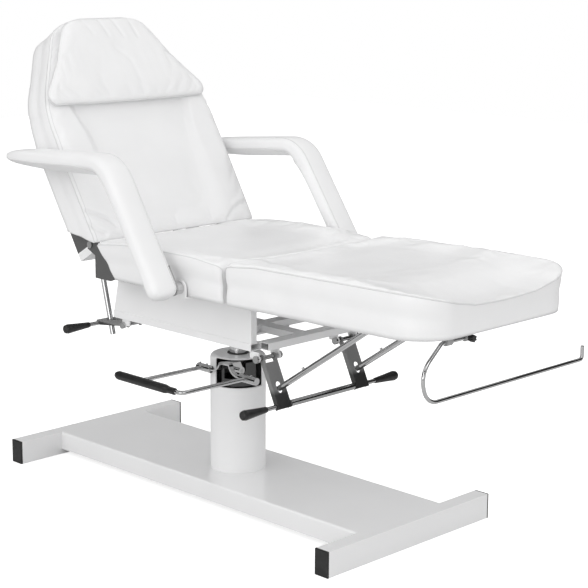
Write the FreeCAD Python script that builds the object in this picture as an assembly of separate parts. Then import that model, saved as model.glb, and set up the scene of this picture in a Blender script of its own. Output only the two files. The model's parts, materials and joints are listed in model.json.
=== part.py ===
import FreeCAD, Part
import math
import os

# Treatment chair on a hydraulic column. Millimetres.
# X runs toward the foot end, Y toward the far side, Z is up, and Z is 0 on the floor.
# All sizes below are measured from the axis of the column.
# The export moves the part so that the origin lies under the middle of its box.

os.makedirs("parts", exist_ok=True)

# General clearances
origin_shift = -122.8
overrun = 5.0
seat_gap = 0.3
running_gap = 0.05
soft_gap = 0.3
edge_break = 1.2

# Base
tube_outer_head = 662.0
tube_outer_foot = 667.0
tube_height = 70.0
tube_width = 45.0
tube_length = 634.0
tube_wall = 2.5
cap_thickness = 6.0
cap_lip = 14.0
cap_wall = 2.0
plate_width = 338.0
plate_height = 54.0
plate_wall = 4.0
plate_corner = 6.0

# Column and pump
column_radius = 80.0
column_wall = 3.0
column_top = 319.0
cover_seam = 1.5
cover_top = 407.0
cover_shoulder = 12.0
cover_bore_gap = 0.9
window_start_angle = -6.0
window_end_angle = 106.0
window_head_height = 4.0
pump_radius = 66.0
pump_top = 391.0
pump_socket_depth = 300.0
gland_radius = 31.0
gland_height = 2.5
piston_radius = 25.0
piston_insert = 280.0

# Foot pedal
yoke_pivot_y = -44.0
yoke_pivot_z = 372.0
yoke_middle_x = 48.0
yoke_barrel_radius = 11.0
yoke_barrel_length = 28.0
yoke_neck_reach = 5.5
yoke_axle_radius = 6.0
yoke_axle_length = 50.0
yoke_pocket_depth = 34.0
yoke_pocket_width = 72.0
yoke_pocket_height = 56.0
yoke_strip_near_y = -100.0
yoke_strip_far_y = -86.0
yoke_strip_thickness = 4.0
yoke_top = 400.0
yoke_top_half_width = 21.0
hub_y = -94.0
hub_z = 371.0
hub_radius = 11.0
hub_inner_offset = 59.0
near_hub_length = 68.0
far_hub_length = 55.0
near_arm_x = 130.0
far_arm_x = -48.0
hub_screw_radius = 3.0
hub_screw_height = 3.0
pedal_rod_radius = 6.0
pedal_bar_y = -330.0
pedal_bar_z = 374.0
pedal_bar_head_x = -134.0
pedal_bar_foot_x = 131.0
pedal_bend = 18.0
pedal_grip_radius = 12.5
pedal_grip_neck = 9.5
pedal_grip_shorter = 8.0
pedal_grip_shares = (
    (0.00, 0.00), (0.00, 0.72), (0.04, 1.00), (0.84, 1.00), (0.90, 0.76), (1.00, 0.76), (1.00, 0.00),
)

# Moving frame under the seat
frame_bottom = 490.0
rail_height = 20.0
rail_width = 40.0
rail_wall = 2.0
end_member_x = 267.0
pump_member_x = 92.0
frame_half_width = 198.0
side_rail_head_x = -316.0
side_rail_foot_x = 259.0
panel_recess = 2.0
panel_sheet = 2.0
panel_flange = 20.0
panel_head_lean = 28.0
panel_foot_corner = 45.0
panel_head_corner = 26.0
mount_plate_length = 236.0
mount_plate_width = 190.0
mount_plate_thickness = 6.0
mount_plate_corner = 10.0
mount_bolt_radius = 5.0
mount_bolt_head_radius = 8.5
mount_bolt_head_height = 6.0
piston_collar_radius = 46.0
piston_collar_height = 26.0

# Seat
seat_bottom = 632.0
seat_half_width = 300.0
seat_foot_x = 253.0
seat_head_bottom_x = -192.0
seat_head_top_x = -290.0
seat_side_height = 110.0
seat_roll = 26.0
seat_roll_rise = 6.0
seat_dish = 14.0
seat_draw = 7.0
seat_base_inset = 6.0
seat_end_drop = 16.0
seat_head_drop = 22.0
seat_station_shares = (
    (0.00, 1.00, 0.60), (0.04, 0.84, 0.90), (0.14, 0.56, 1.00), (0.26, 0.27, 1.00), (0.50, 0.05, 1.00),
    (0.88, 0.00, 1.00), (0.97, 0.00, 0.80), (1.00, 0.00, 0.00),
)
least_dish = 1.5
pad_bead_in_share = 0.30
pad_bead_up_share = 0.72
board_thickness = 16.0
board_inset = 12.0
board_corner = 30.0

# Backrest. Its own directions are "up" along the leaning front and "out" square to it.
back_lean = 31.5
back_foot_x = -240.0
back_foot_z = 720.0
back_half_width = 308.0
back_thickness = 104.0
back_front_start = 18.0
back_rear_start = 96.0
back_shoulder = 440.0
back_length = 710.0
back_roll = 34.0
back_roll_rise = 12.0
back_dish = 16.0
back_draw = 8.0
back_base_inset = 8.0
back_width_shares = (
    (0.000, 0.990, 1.0), (0.105, 0.995, 1.0), (0.300, 1.000, 1.0), (0.530, 1.000, 0.9), (0.600, 0.982, 0.7),
    (0.665, 0.942, 0.4), (0.720, 0.893, 0.2), (0.780, 0.830, 0.0), (0.850, 0.742, 0.0), (0.920, 0.650, 0.0),
    (0.960, 0.575, 0.0), (0.985, 0.465, 0.0), (1.000, 0.360, 0.0),
)
back_board_start = 110.0
back_board_inset = 24.0
back_board_edge = 17.0
back_rail_y = 153.0
back_rail_width = 36.0
back_rail_depth = 20.0
back_rail_end = 500.0
crossbar_up = 22.0
crossbar_height = 24.0
crossbar_depth = 60.0
crossbar_out = -106.0
hinge_x = -310.0
hinge_z = 714.0
hinge_plate_y = 274.0
hinge_plate_thickness = 4.0
hinge_bolt_radius = 6.0
hinge_bolt_head_radius = 10.0
hinge_bolt_head_height = 5.0
hinge_nose = 13.0
hinge_cushion_gap = 10.0
hinge_rear_gap = 1.0
hinge_plate_rise = 32.0
seat_plate_forward = 20.0
seat_plate_shoulder = 28.0
seat_plate_drop = 11.0
seat_plate_foot = 88.0
seat_plate_gap = 3.0
seat_plate_flange = 40.0

# Head pillow
pillow_start = 430.0
pillow_length = 281.0
pillow_half_width = 290.0
pillow_thickness = 27.0
pillow_gap = 1.2
pillow_roll = 20.0
pillow_roll_rise = 11.0
pillow_base_inset = 5.0
pillow_draw = 2.0
pillow_width_shares = (
    (0.00, 0.930, 0.70), (0.04, 0.980, 0.92), (0.10, 0.995, 1.00), (0.16, 0.975, 1.00), (0.31, 0.865, 1.00),
    (0.52, 0.725, 1.00), (0.69, 0.640, 1.00), (0.86, 0.555, 1.00), (0.95, 0.490, 0.90), (1.00, 0.400, 0.55),
)

# Legrest
legrest_head_x = 260.0
legrest_bottom_end = 938.0
legrest_top_end = 950.0
legrest_corner = 115.0
legrest_narrowing = 112.0
legrest_rise = 1.0
legrest_side_height = 113.0
legrest_roll_rise = 12.0
legrest_end_drop = 28.0
legrest_end_dish = 23.0
legrest_straight_shares = ((0.00, 0.0), (0.03, 0.8), (0.10, 1.0), (0.55, 1.0))
legrest_corner_shares = (
    (0.00, 0.00, 0.00), (0.24, 0.06, 0.04), (0.46, 0.20, 0.16), (0.66, 0.44, 0.38), (0.83, 0.72, 0.70),
    (0.94, 0.92, 0.92), (1.00, 1.00, 1.00),
)
legrest_board_side = 30.0
legrest_board_end_inset = 20.0
legrest_board_corner = 95.0
legrest_hinge_x = 257.0
legrest_hinge_z = 618.0
legrest_hinge_y = 155.0
leaf_length = 92.0
leaf_width = 17.0
leaf_thickness = 6.0
leaf_barrel_radius = 12.0
leaf_seat_gap = 6.0
hinge_ear_length = 52.0
hinge_ear_thickness = 6.0
hinge_pin_radius = 6.0

# Adjusting rods and release straps, the same under both ends of the seat
rod_y = 153.0
rod_radius = 8.0
rod_eye_radius = 13.0
rod_eye_width = 14.0
rod_pin_radius = 6.0
rod_ear_thickness = 4.0
rod_ear_gap = 0.5
rod_ear_margin = 6.0
rod_ear_half_base = 21.0
strap_bolt_x = 278.0
strap_bolt_z = 471.0
strap_width = 48.0
strap_sheet = 3.0
strap_flange = 15.0
strap_reach = 135.0
strap_web_start = 15.0
strap_end_margin = 10.0
strap_slot_gap = 1.0
strap_ear_offset = 36.0
strap_ear_thickness = 4.0
strap_ear_width = 32.0
strap_bolt_radius = 6.0
strap_bolt_head_radius = 10.0
strap_bolt_head_height = 7.0
bar_radius = 6.0
bar_half_length = 218.0
bar_sleeve_radius = 9.0
bar_sleeve_half_length = 124.0
grip_length = 90.0
grip_end = 304.0
grip_end_radius = 14.0
grip_neck_radius = 8.0
grip_overlap = 22.0

leg_strap_angle = -64.5
leg_rod_angle = 33.85
leg_rod_pivot_x = 651.6
leg_rod_pivot_z = 614.0
leg_rod_tail = 12.0
leg_slot_near = 79.0
leg_slot_far = 93.0
leg_stop_distance = 106.0
leg_stop_radius = 4.0
leg_stop_height = 5.0

back_strap_angle = 187.3
back_rod_angle = -75.7
back_rod_pivot_x = -452.0
back_rod_pivot_z = 720.0
back_rod_tail = 25.0
back_slot_near = 69.0
back_slot_far = 113.0

# Armrests
arm_side_gap = 27.5
arm_width = 88.0
arm_thickness = 52.0
arm_flat_share = 0.66
arm_edge_share = 0.96
arm_corner_share = 0.87
arm_pivot_x = 99.0
arm_pivot_z = 655.0
arm_knee_x = -104.0
arm_knee_z = 969.0
arm_knee_bend = 95.0
arm_tip_x = -573.0
arm_tip_z = 945.0
arm_foot_length = 24.0
arm_foot_shares = ((1.00, 0.55), (0.55, 0.92), (0.00, 1.00))
arm_post_share = 0.50
arm_knee_shares = (0.25, 0.50, 0.75)
arm_run_shares = ((0.35, 1.00), (0.66, 0.98), (0.80, 0.88), (0.91, 0.66), (0.97, 0.40), (1.00, 0.15))
arm_core_width = 38.0
arm_core_thickness = 5.0
arm_core_length = 60.0
arm_axle_radius = 9.0
arm_axle_flange_radius = 15.0
arm_axle_flange = 3.0
arm_washer_radius = 17.0
arm_pocket_gap = 0.9
arm_bracket_gap = 1.2
arm_bracket_thickness = 5.0
arm_bracket_width = 44.0
arm_bracket_frame_gap = 12.0

# Paper roll holder
roll_axis_x = 920.0
roll_drop = 140.0
roll_rod_radius = 5.0
roll_bulge = 74.0
roll_bulge_drop = 62.0
roll_return = 26.0
roll_far_overhang = 72.0
roll_tip = 36.0
roll_bend = 13.0
roll_bow_bend = 60.0
roll_wide_bend = 50.0
roll_tip_bend = 10.0
roll_block_inset = 116.0
roll_block_width = 20.0
roll_block_spacing = 72.0
roll_block_radius = 9.0
roll_hang = 7.5
roll_inner_overhang = 8.0
roll_plate_thickness = 5.0
roll_plate_head = 34.0
roll_plate_foot = 9.0
knob_radius = 9.0
knob_height = 14.0
knob_shaft_radius = 3.5
knob_lobes = 6
knob_lobe_radius = 2.4


# Small helpers

def vec(x, y, z):
    return FreeCAD.Vector(x, y, z)


def box(x0, x1, y0, y1, z0, z1):
    low = vec(min(x0, x1), min(y0, y1), min(z0, z1))
    return Part.makeBox(abs(x1 - x0), abs(y1 - y0), abs(z1 - z0), low)


def rod(start, direction, radius, length):
    return Part.makeCylinder(radius, length, start, direction)


def y_rod(x, z, radius, y0, y1):
    return rod(vec(x, min(y0, y1), z), vec(0, 1, 0), radius, abs(y1 - y0))


def fuse(shapes):
    joined = shapes[0]
    for shape in shapes[1:]:
        joined = joined.fuse(shape)
    return joined.removeSplitter()


def group(shapes):
    solids = []
    for shape in shapes:
        solids.extend(shape.Solids)
    return Part.makeCompound(solids)


def turned(shape, centre, axis, angle):
    copy = shape.copy()
    copy.rotate(centre, axis, angle)
    return copy


def moved(shape, x, y, z):
    copy = shape.copy()
    copy.translate(vec(x, y, z))
    return copy


def both_sides(shape):
    return [shape, shape.mirror(vec(0, 0, 0), vec(0, 1, 0))]


def side_prism(points, y0, y1):
    """Plate whose outline lies in the XZ plane."""
    corners = [vec(x, y0, z) for x, z in points]
    face = Part.Face(Part.makePolygon(corners + corners[:1]))
    return face.extrude(vec(0, y1 - y0, 0))


def rounded_plate(shape, radius, axis):
    """Rounds the corner edges of a plate that run along the given axis."""
    edges = []
    for edge in shape.Edges:
        first, last = edge.Vertexes[0].Point, edge.Vertexes[-1].Point
        span = last - first
        if span.Length > 0 and abs(abs(span.normalize().dot(axis)) - 1) < 1e-6:
            edges.append(edge)
    return shape.makeFillet(radius, edges)


def bent_path(points, bends):
    """Wire of straight runs joined by tangent arcs, one bend radius per inner point."""
    edges = []
    start = points[0]
    for index in range(1, len(points) - 1):
        corner = points[index]
        arriving = (corner - points[index - 1]).normalize()
        leaving = (points[index + 1] - corner).normalize()
        half_turn = arriving.getAngle(leaving) / 2
        reach = bends[index - 1] * math.tan(half_turn)
        arc_start = corner - arriving * reach
        arc_end = corner + leaving * reach
        inward = (leaving - arriving).normalize()
        arc_middle = corner + inward * (bends[index - 1] * (1 / math.cos(half_turn) - 1))
        edges.append(Part.LineSegment(start, arc_start).toShape())
        edges.append(Part.Arc(arc_start, arc_middle, arc_end).toShape())
        start = arc_end
    edges.append(Part.LineSegment(start, points[-1]).toShape())
    return Part.Wire(edges)


def bent_rod(points, bends, radius):
    path = bent_path(points, bends)
    direction = (points[1] - points[0]).normalize()
    ring = Part.Wire(Part.makeCircle(radius, points[0], direction))
    return path.makePipeShell([ring], True, False)


def rect_tube(x0, x1, y0, y1, z0, z1, wall, along):
    """Box section tube, open at both ends along X or Y."""
    outer = box(x0, x1, y0, y1, z0, z1)
    if along == "x":
        return outer.cut(box(x0 - overrun, x1 + overrun, y0 + wall, y1 - wall, z0 + wall, z1 - wall))
    return outer.cut(box(x0 + wall, x1 - wall, y0 - overrun, y1 + overrun, z0 + wall, z1 - wall))


def pad_section(place, half_bottom, half_top, height, roll, roll_rise, dish, draw):
    """Closed cross-section of a pad: flat base, drawn-in sides, rolled edges and a dished top."""
    seam = height - roll_rise
    half_middle = (half_bottom + half_top) / 2 - draw
    crown = half_top - roll
    base_left, base_right = place(-half_bottom, 0), place(half_bottom, 0)
    side_right, side_left = place(half_middle, seam / 2), place(-half_middle, seam / 2)
    seam_right, seam_left = place(half_top, seam), place(-half_top, seam)
    bead_right = place(half_top - roll * pad_bead_in_share, seam + roll_rise * pad_bead_up_share)
    bead_left = place(-half_top + roll * pad_bead_in_share, seam + roll_rise * pad_bead_up_share)
    crown_right, crown_left = place(crown, height), place(-crown, height)
    middle = place(0, height - (dish if abs(dish) > least_dish else least_dish))
    return Part.Wire([
        Part.LineSegment(base_left, base_right).toShape(),
        Part.Arc(base_right, side_right, seam_right).toShape(),
        Part.Arc(seam_right, bead_right, crown_right).toShape(),
        Part.Arc(crown_right, middle, crown_left).toShape(),
        Part.Arc(crown_left, bead_left, seam_left).toShape(),
        Part.Arc(seam_left, side_left, base_left).toShape(),
    ])


def smooth_loft(sections):
    return Part.makeLoft(sections, True, False, False, 3)


def export(name, shape):
    placed = moved(shape, origin_shift, 0, 0)
    placed.exportStep("parts/" + name + ".step")
    print(name, len(placed.Solids), placed.isValid())


# Base

def cross_tube(x0, x1):
    half = tube_length / 2
    return rect_tube(x0, x1, -half, half, 0, tube_height, tube_wall, "y")


def tube_caps():
    caps = []
    half = tube_length / 2
    plug_gap = tube_wall + seat_gap
    for x0 in (-tube_outer_head, tube_outer_foot - tube_width):
        x1 = x0 + tube_width
        head = box(x0, x1, half, half + cap_thickness, 0, tube_height)
        outer_edges = [e for e in head.Edges if e.BoundBox.YMin > half + cap_wall]
        head = head.makeFillet(cap_wall, outer_edges)
        plug = box(x0 + plug_gap, x1 - plug_gap, half - cap_lip, half + cap_wall,
                   plug_gap, tube_height - plug_gap)
        hollow = box(x0 + plug_gap + cap_wall, x1 - plug_gap - cap_wall, half - cap_lip - overrun,
                     half, plug_gap + cap_wall, tube_height - plug_gap - cap_wall)
        caps.extend(both_sides(fuse([head, plug]).cut(hollow)))
    return caps


def base_plate():
    """Channel plate between the tubes, open below, with two rounded top edges."""
    x0, x1 = -tube_outer_head + tube_width, tube_outer_foot - tube_width
    half = plate_width / 2
    bottom = tube_height - plate_height
    blank_bottom = bottom - plate_corner - overrun
    sheet = rounded_plate(box(x0, x1, -half, half, blank_bottom, tube_height), plate_corner, vec(1, 0, 0))
    below = box(x0 - overrun, x1 + overrun, -half - overrun, half + overrun, blank_bottom - overrun, bottom)
    inner = box(x0 - overrun, x1 + overrun, -half + plate_wall, half - plate_wall,
                bottom - overrun, tube_height - plate_wall)
    return sheet.cut(below).cut(inner)


# Column and pump

def column_tube():
    outer = rod(vec(0, 0, tube_height), vec(0, 0, 1), column_radius, column_top - tube_height)
    return outer.cut(rod(vec(0, 0, tube_height - overrun), vec(0, 0, 1),
                         column_radius - column_wall, column_top))


def window_wedge(z0, z1):
    """Sector of a disc, from the column axis outward, that the window cuts."""
    reach = column_radius * 2
    start = math.radians(window_start_angle)
    middle = math.radians((window_start_angle + window_end_angle) / 2)
    end = math.radians(window_end_angle)
    points = [vec(reach * math.sin(a), -reach * math.cos(a), z0) for a in (start, middle, end)]
    edges = [Part.LineSegment(vec(0, 0, z0), points[0]).toShape(),
             Part.Arc(points[0], points[1], points[2]).toShape(),
             Part.LineSegment(points[2], vec(0, 0, z0)).toShape()]
    return Part.Face(Part.Wire(edges)).extrude(vec(0, 0, z1 - z0))


def column_cover():
    bottom = column_top + cover_seam
    height = cover_top - bottom
    outer = rod(vec(0, 0, bottom), vec(0, 0, 1), column_radius, height)
    top_edge = [e for e in outer.Edges if abs(e.BoundBox.ZMin - cover_top) < overrun
                and abs(e.BoundBox.ZMax - cover_top) < overrun]
    outer = outer.makeFillet(cover_shoulder, top_edge)
    inner = rod(vec(0, 0, bottom - overrun), vec(0, 0, 1), column_radius - column_wall,
                height - column_wall + overrun)
    inner_edge = [e for e in inner.Edges if abs(e.BoundBox.ZMin - cover_top + column_wall) < overrun
                  and abs(e.BoundBox.ZMax - cover_top + column_wall) < overrun]
    inner = inner.makeFillet(cover_shoulder - column_wall, inner_edge)
    bore = rod(vec(0, 0, bottom), vec(0, 0, 1), piston_radius + cover_bore_gap, height + overrun)
    window = window_wedge(bottom - overrun, cover_top - window_head_height)
    return fuse([outer.cut(inner).cut(bore).cut(window), cover_spigot()])


def cover_spigot():
    """Ring that centres the cover in the column tube and leaves the thin dark seam."""
    outer_radius = column_radius - column_wall - seat_gap
    outer = rod(vec(0, 0, column_top - cap_lip), vec(0, 0, 1), outer_radius, cap_lip + cover_seam)
    rim = rod(vec(0, 0, column_top), vec(0, 0, 1), column_radius - column_wall / 2, cover_seam)
    bore = rod(vec(0, 0, column_top - cap_lip - overrun), vec(0, 0, 1), outer_radius - column_wall,
               cap_lip + overrun * 2)
    return fuse([outer, rim]).cut(bore)


def yoke_pocket():
    """Recess in the pump head that the pedal yoke works in, open toward the near side."""
    half = yoke_pocket_width / 2
    return box(yoke_middle_x - half, yoke_middle_x + half, -column_radius, yoke_pivot_y + yoke_pocket_depth / 2,
               yoke_pivot_z - yoke_pocket_height / 2, pump_top + overrun)


def pump_body():
    foot = tube_height
    body = rod(vec(0, 0, foot), vec(0, 0, 1), pump_radius, pump_top - foot)
    socket = rod(vec(0, 0, pump_top - pump_socket_depth), vec(0, 0, 1), piston_radius + running_gap,
                 pump_socket_depth + overrun)
    return body.cut(socket).cut(yoke_pocket())


def pump_gland():
    ring = rod(vec(0, 0, cover_top), vec(0, 0, 1), gland_radius, gland_height)
    top_edge = [e for e in ring.Edges if abs(e.BoundBox.ZMin - cover_top - gland_height) < seat_gap]
    ring = ring.makeChamfer(edge_break, top_edge)
    bore = rod(vec(0, 0, cover_top - overrun), vec(0, 0, 1), piston_radius + running_gap,
               gland_height + overrun * 2)
    return ring.cut(bore)


def yoke_axle():
    """Stub axle that the yoke turns on, standing out of the wall of the pocket."""
    return rod(vec(yoke_middle_x - yoke_pocket_width / 2, yoke_pivot_y, yoke_pivot_z), vec(1, 0, 0),
               yoke_axle_radius, yoke_axle_length)


# Foot pedal

def flared_strip_outline(lowering):
    """Arch over the lever: a flat top and two horns that sweep out to the hubs."""
    m, half_top, half_base = yoke_middle_x, yoke_top_half_width - lowering, hub_inner_offset
    top, foot = yoke_top - lowering, hub_z + yoke_strip_thickness / 2 - lowering
    left, right = vec(m - half_top, 0, top), vec(m + half_top, 0, top)
    left_foot, right_foot = vec(m - half_base, 0, foot), vec(m + half_base, 0, foot)
    span, drop = half_base - half_top, top - foot
    quarter_share = math.sqrt(0.5)
    left_bend = vec(left_foot.x + span * quarter_share, 0, top - drop * quarter_share)
    right_bend = vec(right_foot.x - span * quarter_share, 0, top - drop * quarter_share)
    return left_foot, left_bend, left, right, right_bend, right_foot


def yoke_strip():
    outer = flared_strip_outline(0)
    inner = flared_strip_outline(yoke_strip_thickness)
    edges = [Part.Arc(outer[0], outer[1], outer[2]).toShape(), Part.LineSegment(outer[2], outer[3]).toShape(),
             Part.Arc(outer[3], outer[4], outer[5]).toShape(), Part.LineSegment(outer[5], inner[5]).toShape(),
             Part.Arc(inner[5], inner[4], inner[3]).toShape(), Part.LineSegment(inner[3], inner[2]).toShape(),
             Part.Arc(inner[2], inner[1], inner[0]).toShape(), Part.LineSegment(inner[0], outer[0]).toShape()]
    face = Part.Face(Part.Wire(edges))
    strip = face.extrude(vec(0, yoke_strip_far_y - yoke_strip_near_y, 0))
    return moved(strip, 0, yoke_strip_near_y, 0)


def pedal_yoke():
    """Barrel on the axle, a neck up from it, and the bent strip whose horns end at the hubs."""
    half = yoke_barrel_length / 2
    x0, x1 = yoke_middle_x - half, yoke_middle_x + half
    barrel = rod(vec(x0, yoke_pivot_y, yoke_pivot_z), vec(1, 0, 0), yoke_barrel_radius, yoke_barrel_length)
    under = yoke_top - yoke_strip_thickness
    reach = yoke_neck_reach
    profile = [(yoke_pivot_y + reach, yoke_pivot_z + reach), (yoke_pivot_y - reach, yoke_top),
               (yoke_strip_far_y - reach, yoke_top), (yoke_strip_far_y - reach, under),
               (yoke_pivot_y - reach - yoke_strip_thickness, under), (yoke_pivot_y - reach, yoke_pivot_z + reach)]
    ring = [vec(x0, y, z) for y, z in profile]
    neck = Part.Face(Part.makePolygon(ring + ring[:1])).extrude(vec(yoke_barrel_length, 0, 0))
    bore = rod(vec(x0 - overrun, yoke_pivot_y, yoke_pivot_z), vec(1, 0, 0),
               yoke_axle_radius + running_gap, yoke_barrel_length + overrun * 2)
    return fuse([barrel, neck, yoke_strip()]).cut(bore)


def hub_ends(side):
    """X of the inner and outer end of a hub; side 1 is toward the foot end."""
    length = near_hub_length if side > 0 else far_hub_length
    inner = yoke_middle_x + side * hub_inner_offset
    return inner, inner + side * length


def pedal_hub(side):
    inner, outer = hub_ends(side)
    return rod(vec(min(inner, outer), hub_y, hub_z), vec(1, 0, 0), hub_radius, abs(outer - inner))


def pedal_arm_x(side):
    return near_arm_x if side > 0 else far_arm_x


def hub_with_bore(side):
    """Hub sleeve, cross-bored for the end of its pedal arm."""
    hub = pedal_hub(side)
    edges = [e for e in hub.Edges if e.Curve.TypeId == "Part::GeomCircle"]
    hub = hub.makeChamfer(edge_break, edges)
    return hub.cut(pedal_rod()).cut(hub_screw_holes())


def hub_screws():
    """Set screws on top of the hubs, one on each side of the arm."""
    screws = []
    for side in (-1, 1):
        for end in hub_ends(side):
            x = (pedal_arm_x(side) + end) / 2
            screws.append(rod(vec(x, hub_y, hub_z + hub_radius - hub_screw_radius), vec(0, 0, 1),
                              hub_screw_radius, hub_screw_height + hub_screw_radius))
    return screws


def hub_screw_holes():
    return fuse(hub_screws())


def pedal_rod():
    """One bent rod: an arm from each hub and the bar between them, which runs on toward the head."""
    far_x, near_x = pedal_arm_x(-1), pedal_arm_x(1)
    near_arm = bent_rod([vec(near_x, hub_y, hub_z), vec(near_x, pedal_bar_y, pedal_bar_z),
                         vec(pedal_bar_head_x, pedal_bar_y, pedal_bar_z)], [pedal_bend], pedal_rod_radius)
    reach = vec(far_x, hub_y, hub_z) - vec(far_x, pedal_bar_y, pedal_bar_z)
    far_arm = rod(vec(far_x, pedal_bar_y, pedal_bar_z), reach, pedal_rod_radius, reach.Length)
    return fuse([near_arm, far_arm])


def pedal_grip():
    """Rubber sleeve on the bar, necked at its foot end, with a closed rounded head end."""
    x0 = pedal_bar_head_x - pedal_grip_shorter
    length = pedal_arm_x(1) - pedal_bend - pedal_grip_neck - x0
    points = [vec(x0 + length * along, pedal_bar_y, pedal_bar_z + pedal_grip_radius * width)
              for along, width in pedal_grip_shares]
    face = Part.Face(Part.makePolygon(points + points[:1]))
    solid = face.revolve(vec(x0, pedal_bar_y, pedal_bar_z), vec(1, 0, 0), 360)
    far_x = pedal_arm_x(-1)
    clearing = rod(vec(far_x, pedal_bar_y, pedal_bar_z), vec(0, 1, 0), pedal_rod_radius + seat_gap, far_hub_length)
    return solid.cut(pedal_rod()).cut(clearing)


# Moving frame

def frame_top():
    return frame_bottom + rail_height


def cross_member(x):
    """Member between the side rails; the pump members are drilled for the mounting bolts."""
    half = frame_half_width - rail_width
    tube = rect_tube(x - rail_width / 2, x + rail_width / 2, -half, half, frame_bottom, frame_top(),
                     rail_wall, "y")
    return tube.cut(fuse(mount_bolt_shanks()))


def member_places():
    return [-end_member_x, -pump_member_x, pump_member_x, end_member_x]


def side_rail():
    return rect_tube(side_rail_head_x, side_rail_foot_x, frame_half_width - rail_width, frame_half_width,
                     frame_bottom, frame_top(), rail_wall, "x")


def centre_rails():
    half_rail = rail_width / 2
    x0, x1 = pump_member_x + half_rail, end_member_x - half_rail
    foot_side = rect_tube(x0, x1, -half_rail, half_rail, frame_bottom, frame_top(), rail_wall, "x")
    head_side = rect_tube(-x1, -x0, -half_rail, half_rail, frame_bottom, frame_top(), rail_wall, "x")
    return [foot_side, head_side]


def panel_outline(inset):
    """Outline of the side panel in XZ: leaning head edge and two rounded top corners."""
    z0, z1 = frame_top() + inset, seat_bottom - inset
    head_bottom = side_rail_head_x + inset
    head_top = side_rail_head_x + panel_head_lean + inset
    foot = side_rail_foot_x - inset
    return [vec(head_bottom, 0, z0), vec(foot, 0, z0), vec(foot, 0, z1), vec(head_top, 0, z1)]


def rounded_outline(corners, radii):
    """Face of a closed outline whose corners have the given radii, zero for a sharp one."""
    edges = []
    count = len(corners)
    starts, ends, arcs = [], [], []
    for index in range(count):
        corner = corners[index]
        arriving = (corner - corners[index - 1]).normalize()
        leaving = (corners[(index + 1) % count] - corner).normalize()
        half_turn = arriving.getAngle(leaving) / 2
        reach = radii[index] * math.tan(half_turn)
        starts.append(corner - arriving * reach)
        ends.append(corner + leaving * reach)
        inward = (leaving - arriving).normalize()
        arcs.append(corner + inward * (radii[index] * (1 / math.cos(half_turn) - 1)))
    for index in range(count):
        if radii[index] > 0:
            edges.append(Part.Arc(starts[index], arcs[index], ends[index]).toShape())
        edges.append(Part.LineSegment(ends[index], starts[(index + 1) % count]).toShape())
    return Part.Face(Part.Wire(edges))


def side_panel():
    """Folded sheet pan: outer face, and flanges turned inward all round."""
    outer_y = frame_half_width - panel_recess
    radii = [0, 0, panel_foot_corner, panel_head_corner]
    outer = rounded_outline(panel_outline(0), radii).extrude(vec(0, panel_flange, 0))
    inner_radii = [0, 0, panel_foot_corner - panel_sheet, panel_head_corner - panel_sheet]
    inner = rounded_outline(panel_outline(panel_sheet), inner_radii).extrude(vec(0, panel_flange, 0))
    inner.translate(vec(0, -panel_sheet, 0))
    pan = outer.cut(inner)
    pan.translate(vec(0, outer_y - panel_flange, 0))
    return pan


def mount_plate():
    half_length, half_width = mount_plate_length / 2, mount_plate_width / 2
    plate = box(-half_length, half_length, -half_width, half_width,
                frame_bottom - mount_plate_thickness, frame_bottom)
    plate = rounded_plate(plate, mount_plate_corner, vec(0, 0, 1))
    return plate.cut(fuse(mount_bolt_shanks()))


def mount_bolt_places():
    y = mount_plate_width / 2 - rail_width / 2
    return [(x, side * y) for x in (-pump_member_x, pump_member_x) for side in (-1, 1)]


def mount_bolt_shanks():
    length = mount_plate_thickness + rail_wall
    return [rod(vec(x, y, frame_bottom - mount_plate_thickness), vec(0, 0, 1), mount_bolt_radius, length)
            for x, y in mount_bolt_places()]


def mount_bolts():
    bolts = []
    for (x, y), shank in zip(mount_bolt_places(), mount_bolt_shanks()):
        head_z = frame_bottom - mount_plate_thickness - mount_bolt_head_height
        head = rod(vec(x, y, head_z), vec(0, 0, 1), mount_bolt_head_radius, mount_bolt_head_height)
        bolts.append(fuse([head, shank]))
    return bolts


def piston():
    """Chrome ram with the collar that carries the mounting plate."""
    top = frame_bottom - mount_plate_thickness
    ram_bottom = cover_top - piston_insert
    ram = rod(vec(0, 0, ram_bottom), vec(0, 0, 1), piston_radius, top - ram_bottom)
    collar = Part.makeCone(piston_radius, piston_collar_radius, piston_collar_height - mount_plate_thickness,
                           vec(0, 0, top - piston_collar_height), vec(0, 0, 1))
    flange = rod(vec(0, 0, top - mount_plate_thickness), vec(0, 0, 1), piston_collar_radius,
                 mount_plate_thickness)
    return fuse([ram, collar, flange])


# Seat

def seat_place(bottom_x, top_x, height):
    """Maps across and up in a pad section to the leaning section plane of the seat."""
    def place(across, up):
        return vec(bottom_x + (top_x - bottom_x) * up / height, across, seat_bottom + up)
    return place


def upright_edges(shape, x):
    """Edges of a plate that stand upright at the given X."""
    return [e for e in shape.Edges if e.BoundBox.XLength < seat_gap and e.BoundBox.YLength < seat_gap
            and abs(e.CenterOfMass.x - x) < seat_gap]


def seat_sections():
    """Sections from the head end, where the top is lower, to the foot end."""
    height = seat_side_height + seat_roll_rise
    sections = []
    bottom_span = seat_foot_x - seat_head_bottom_x
    top_span = seat_foot_x - seat_head_top_x
    for along, head_share, fullness in seat_station_shares:
        section_height = height - seat_head_drop * head_share - seat_end_drop * (1 - fullness)
        bottom_x = seat_head_bottom_x + bottom_span * along
        top_x = seat_head_top_x + top_span * along
        half = seat_half_width - seat_base_inset * (1 - fullness)
        place = seat_place(bottom_x, top_x, height)
        sections.append(pad_section(place, half - seat_base_inset, half, section_height, seat_roll,
                                    seat_roll_rise, seat_dish * fullness, seat_draw))
    return sections


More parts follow.
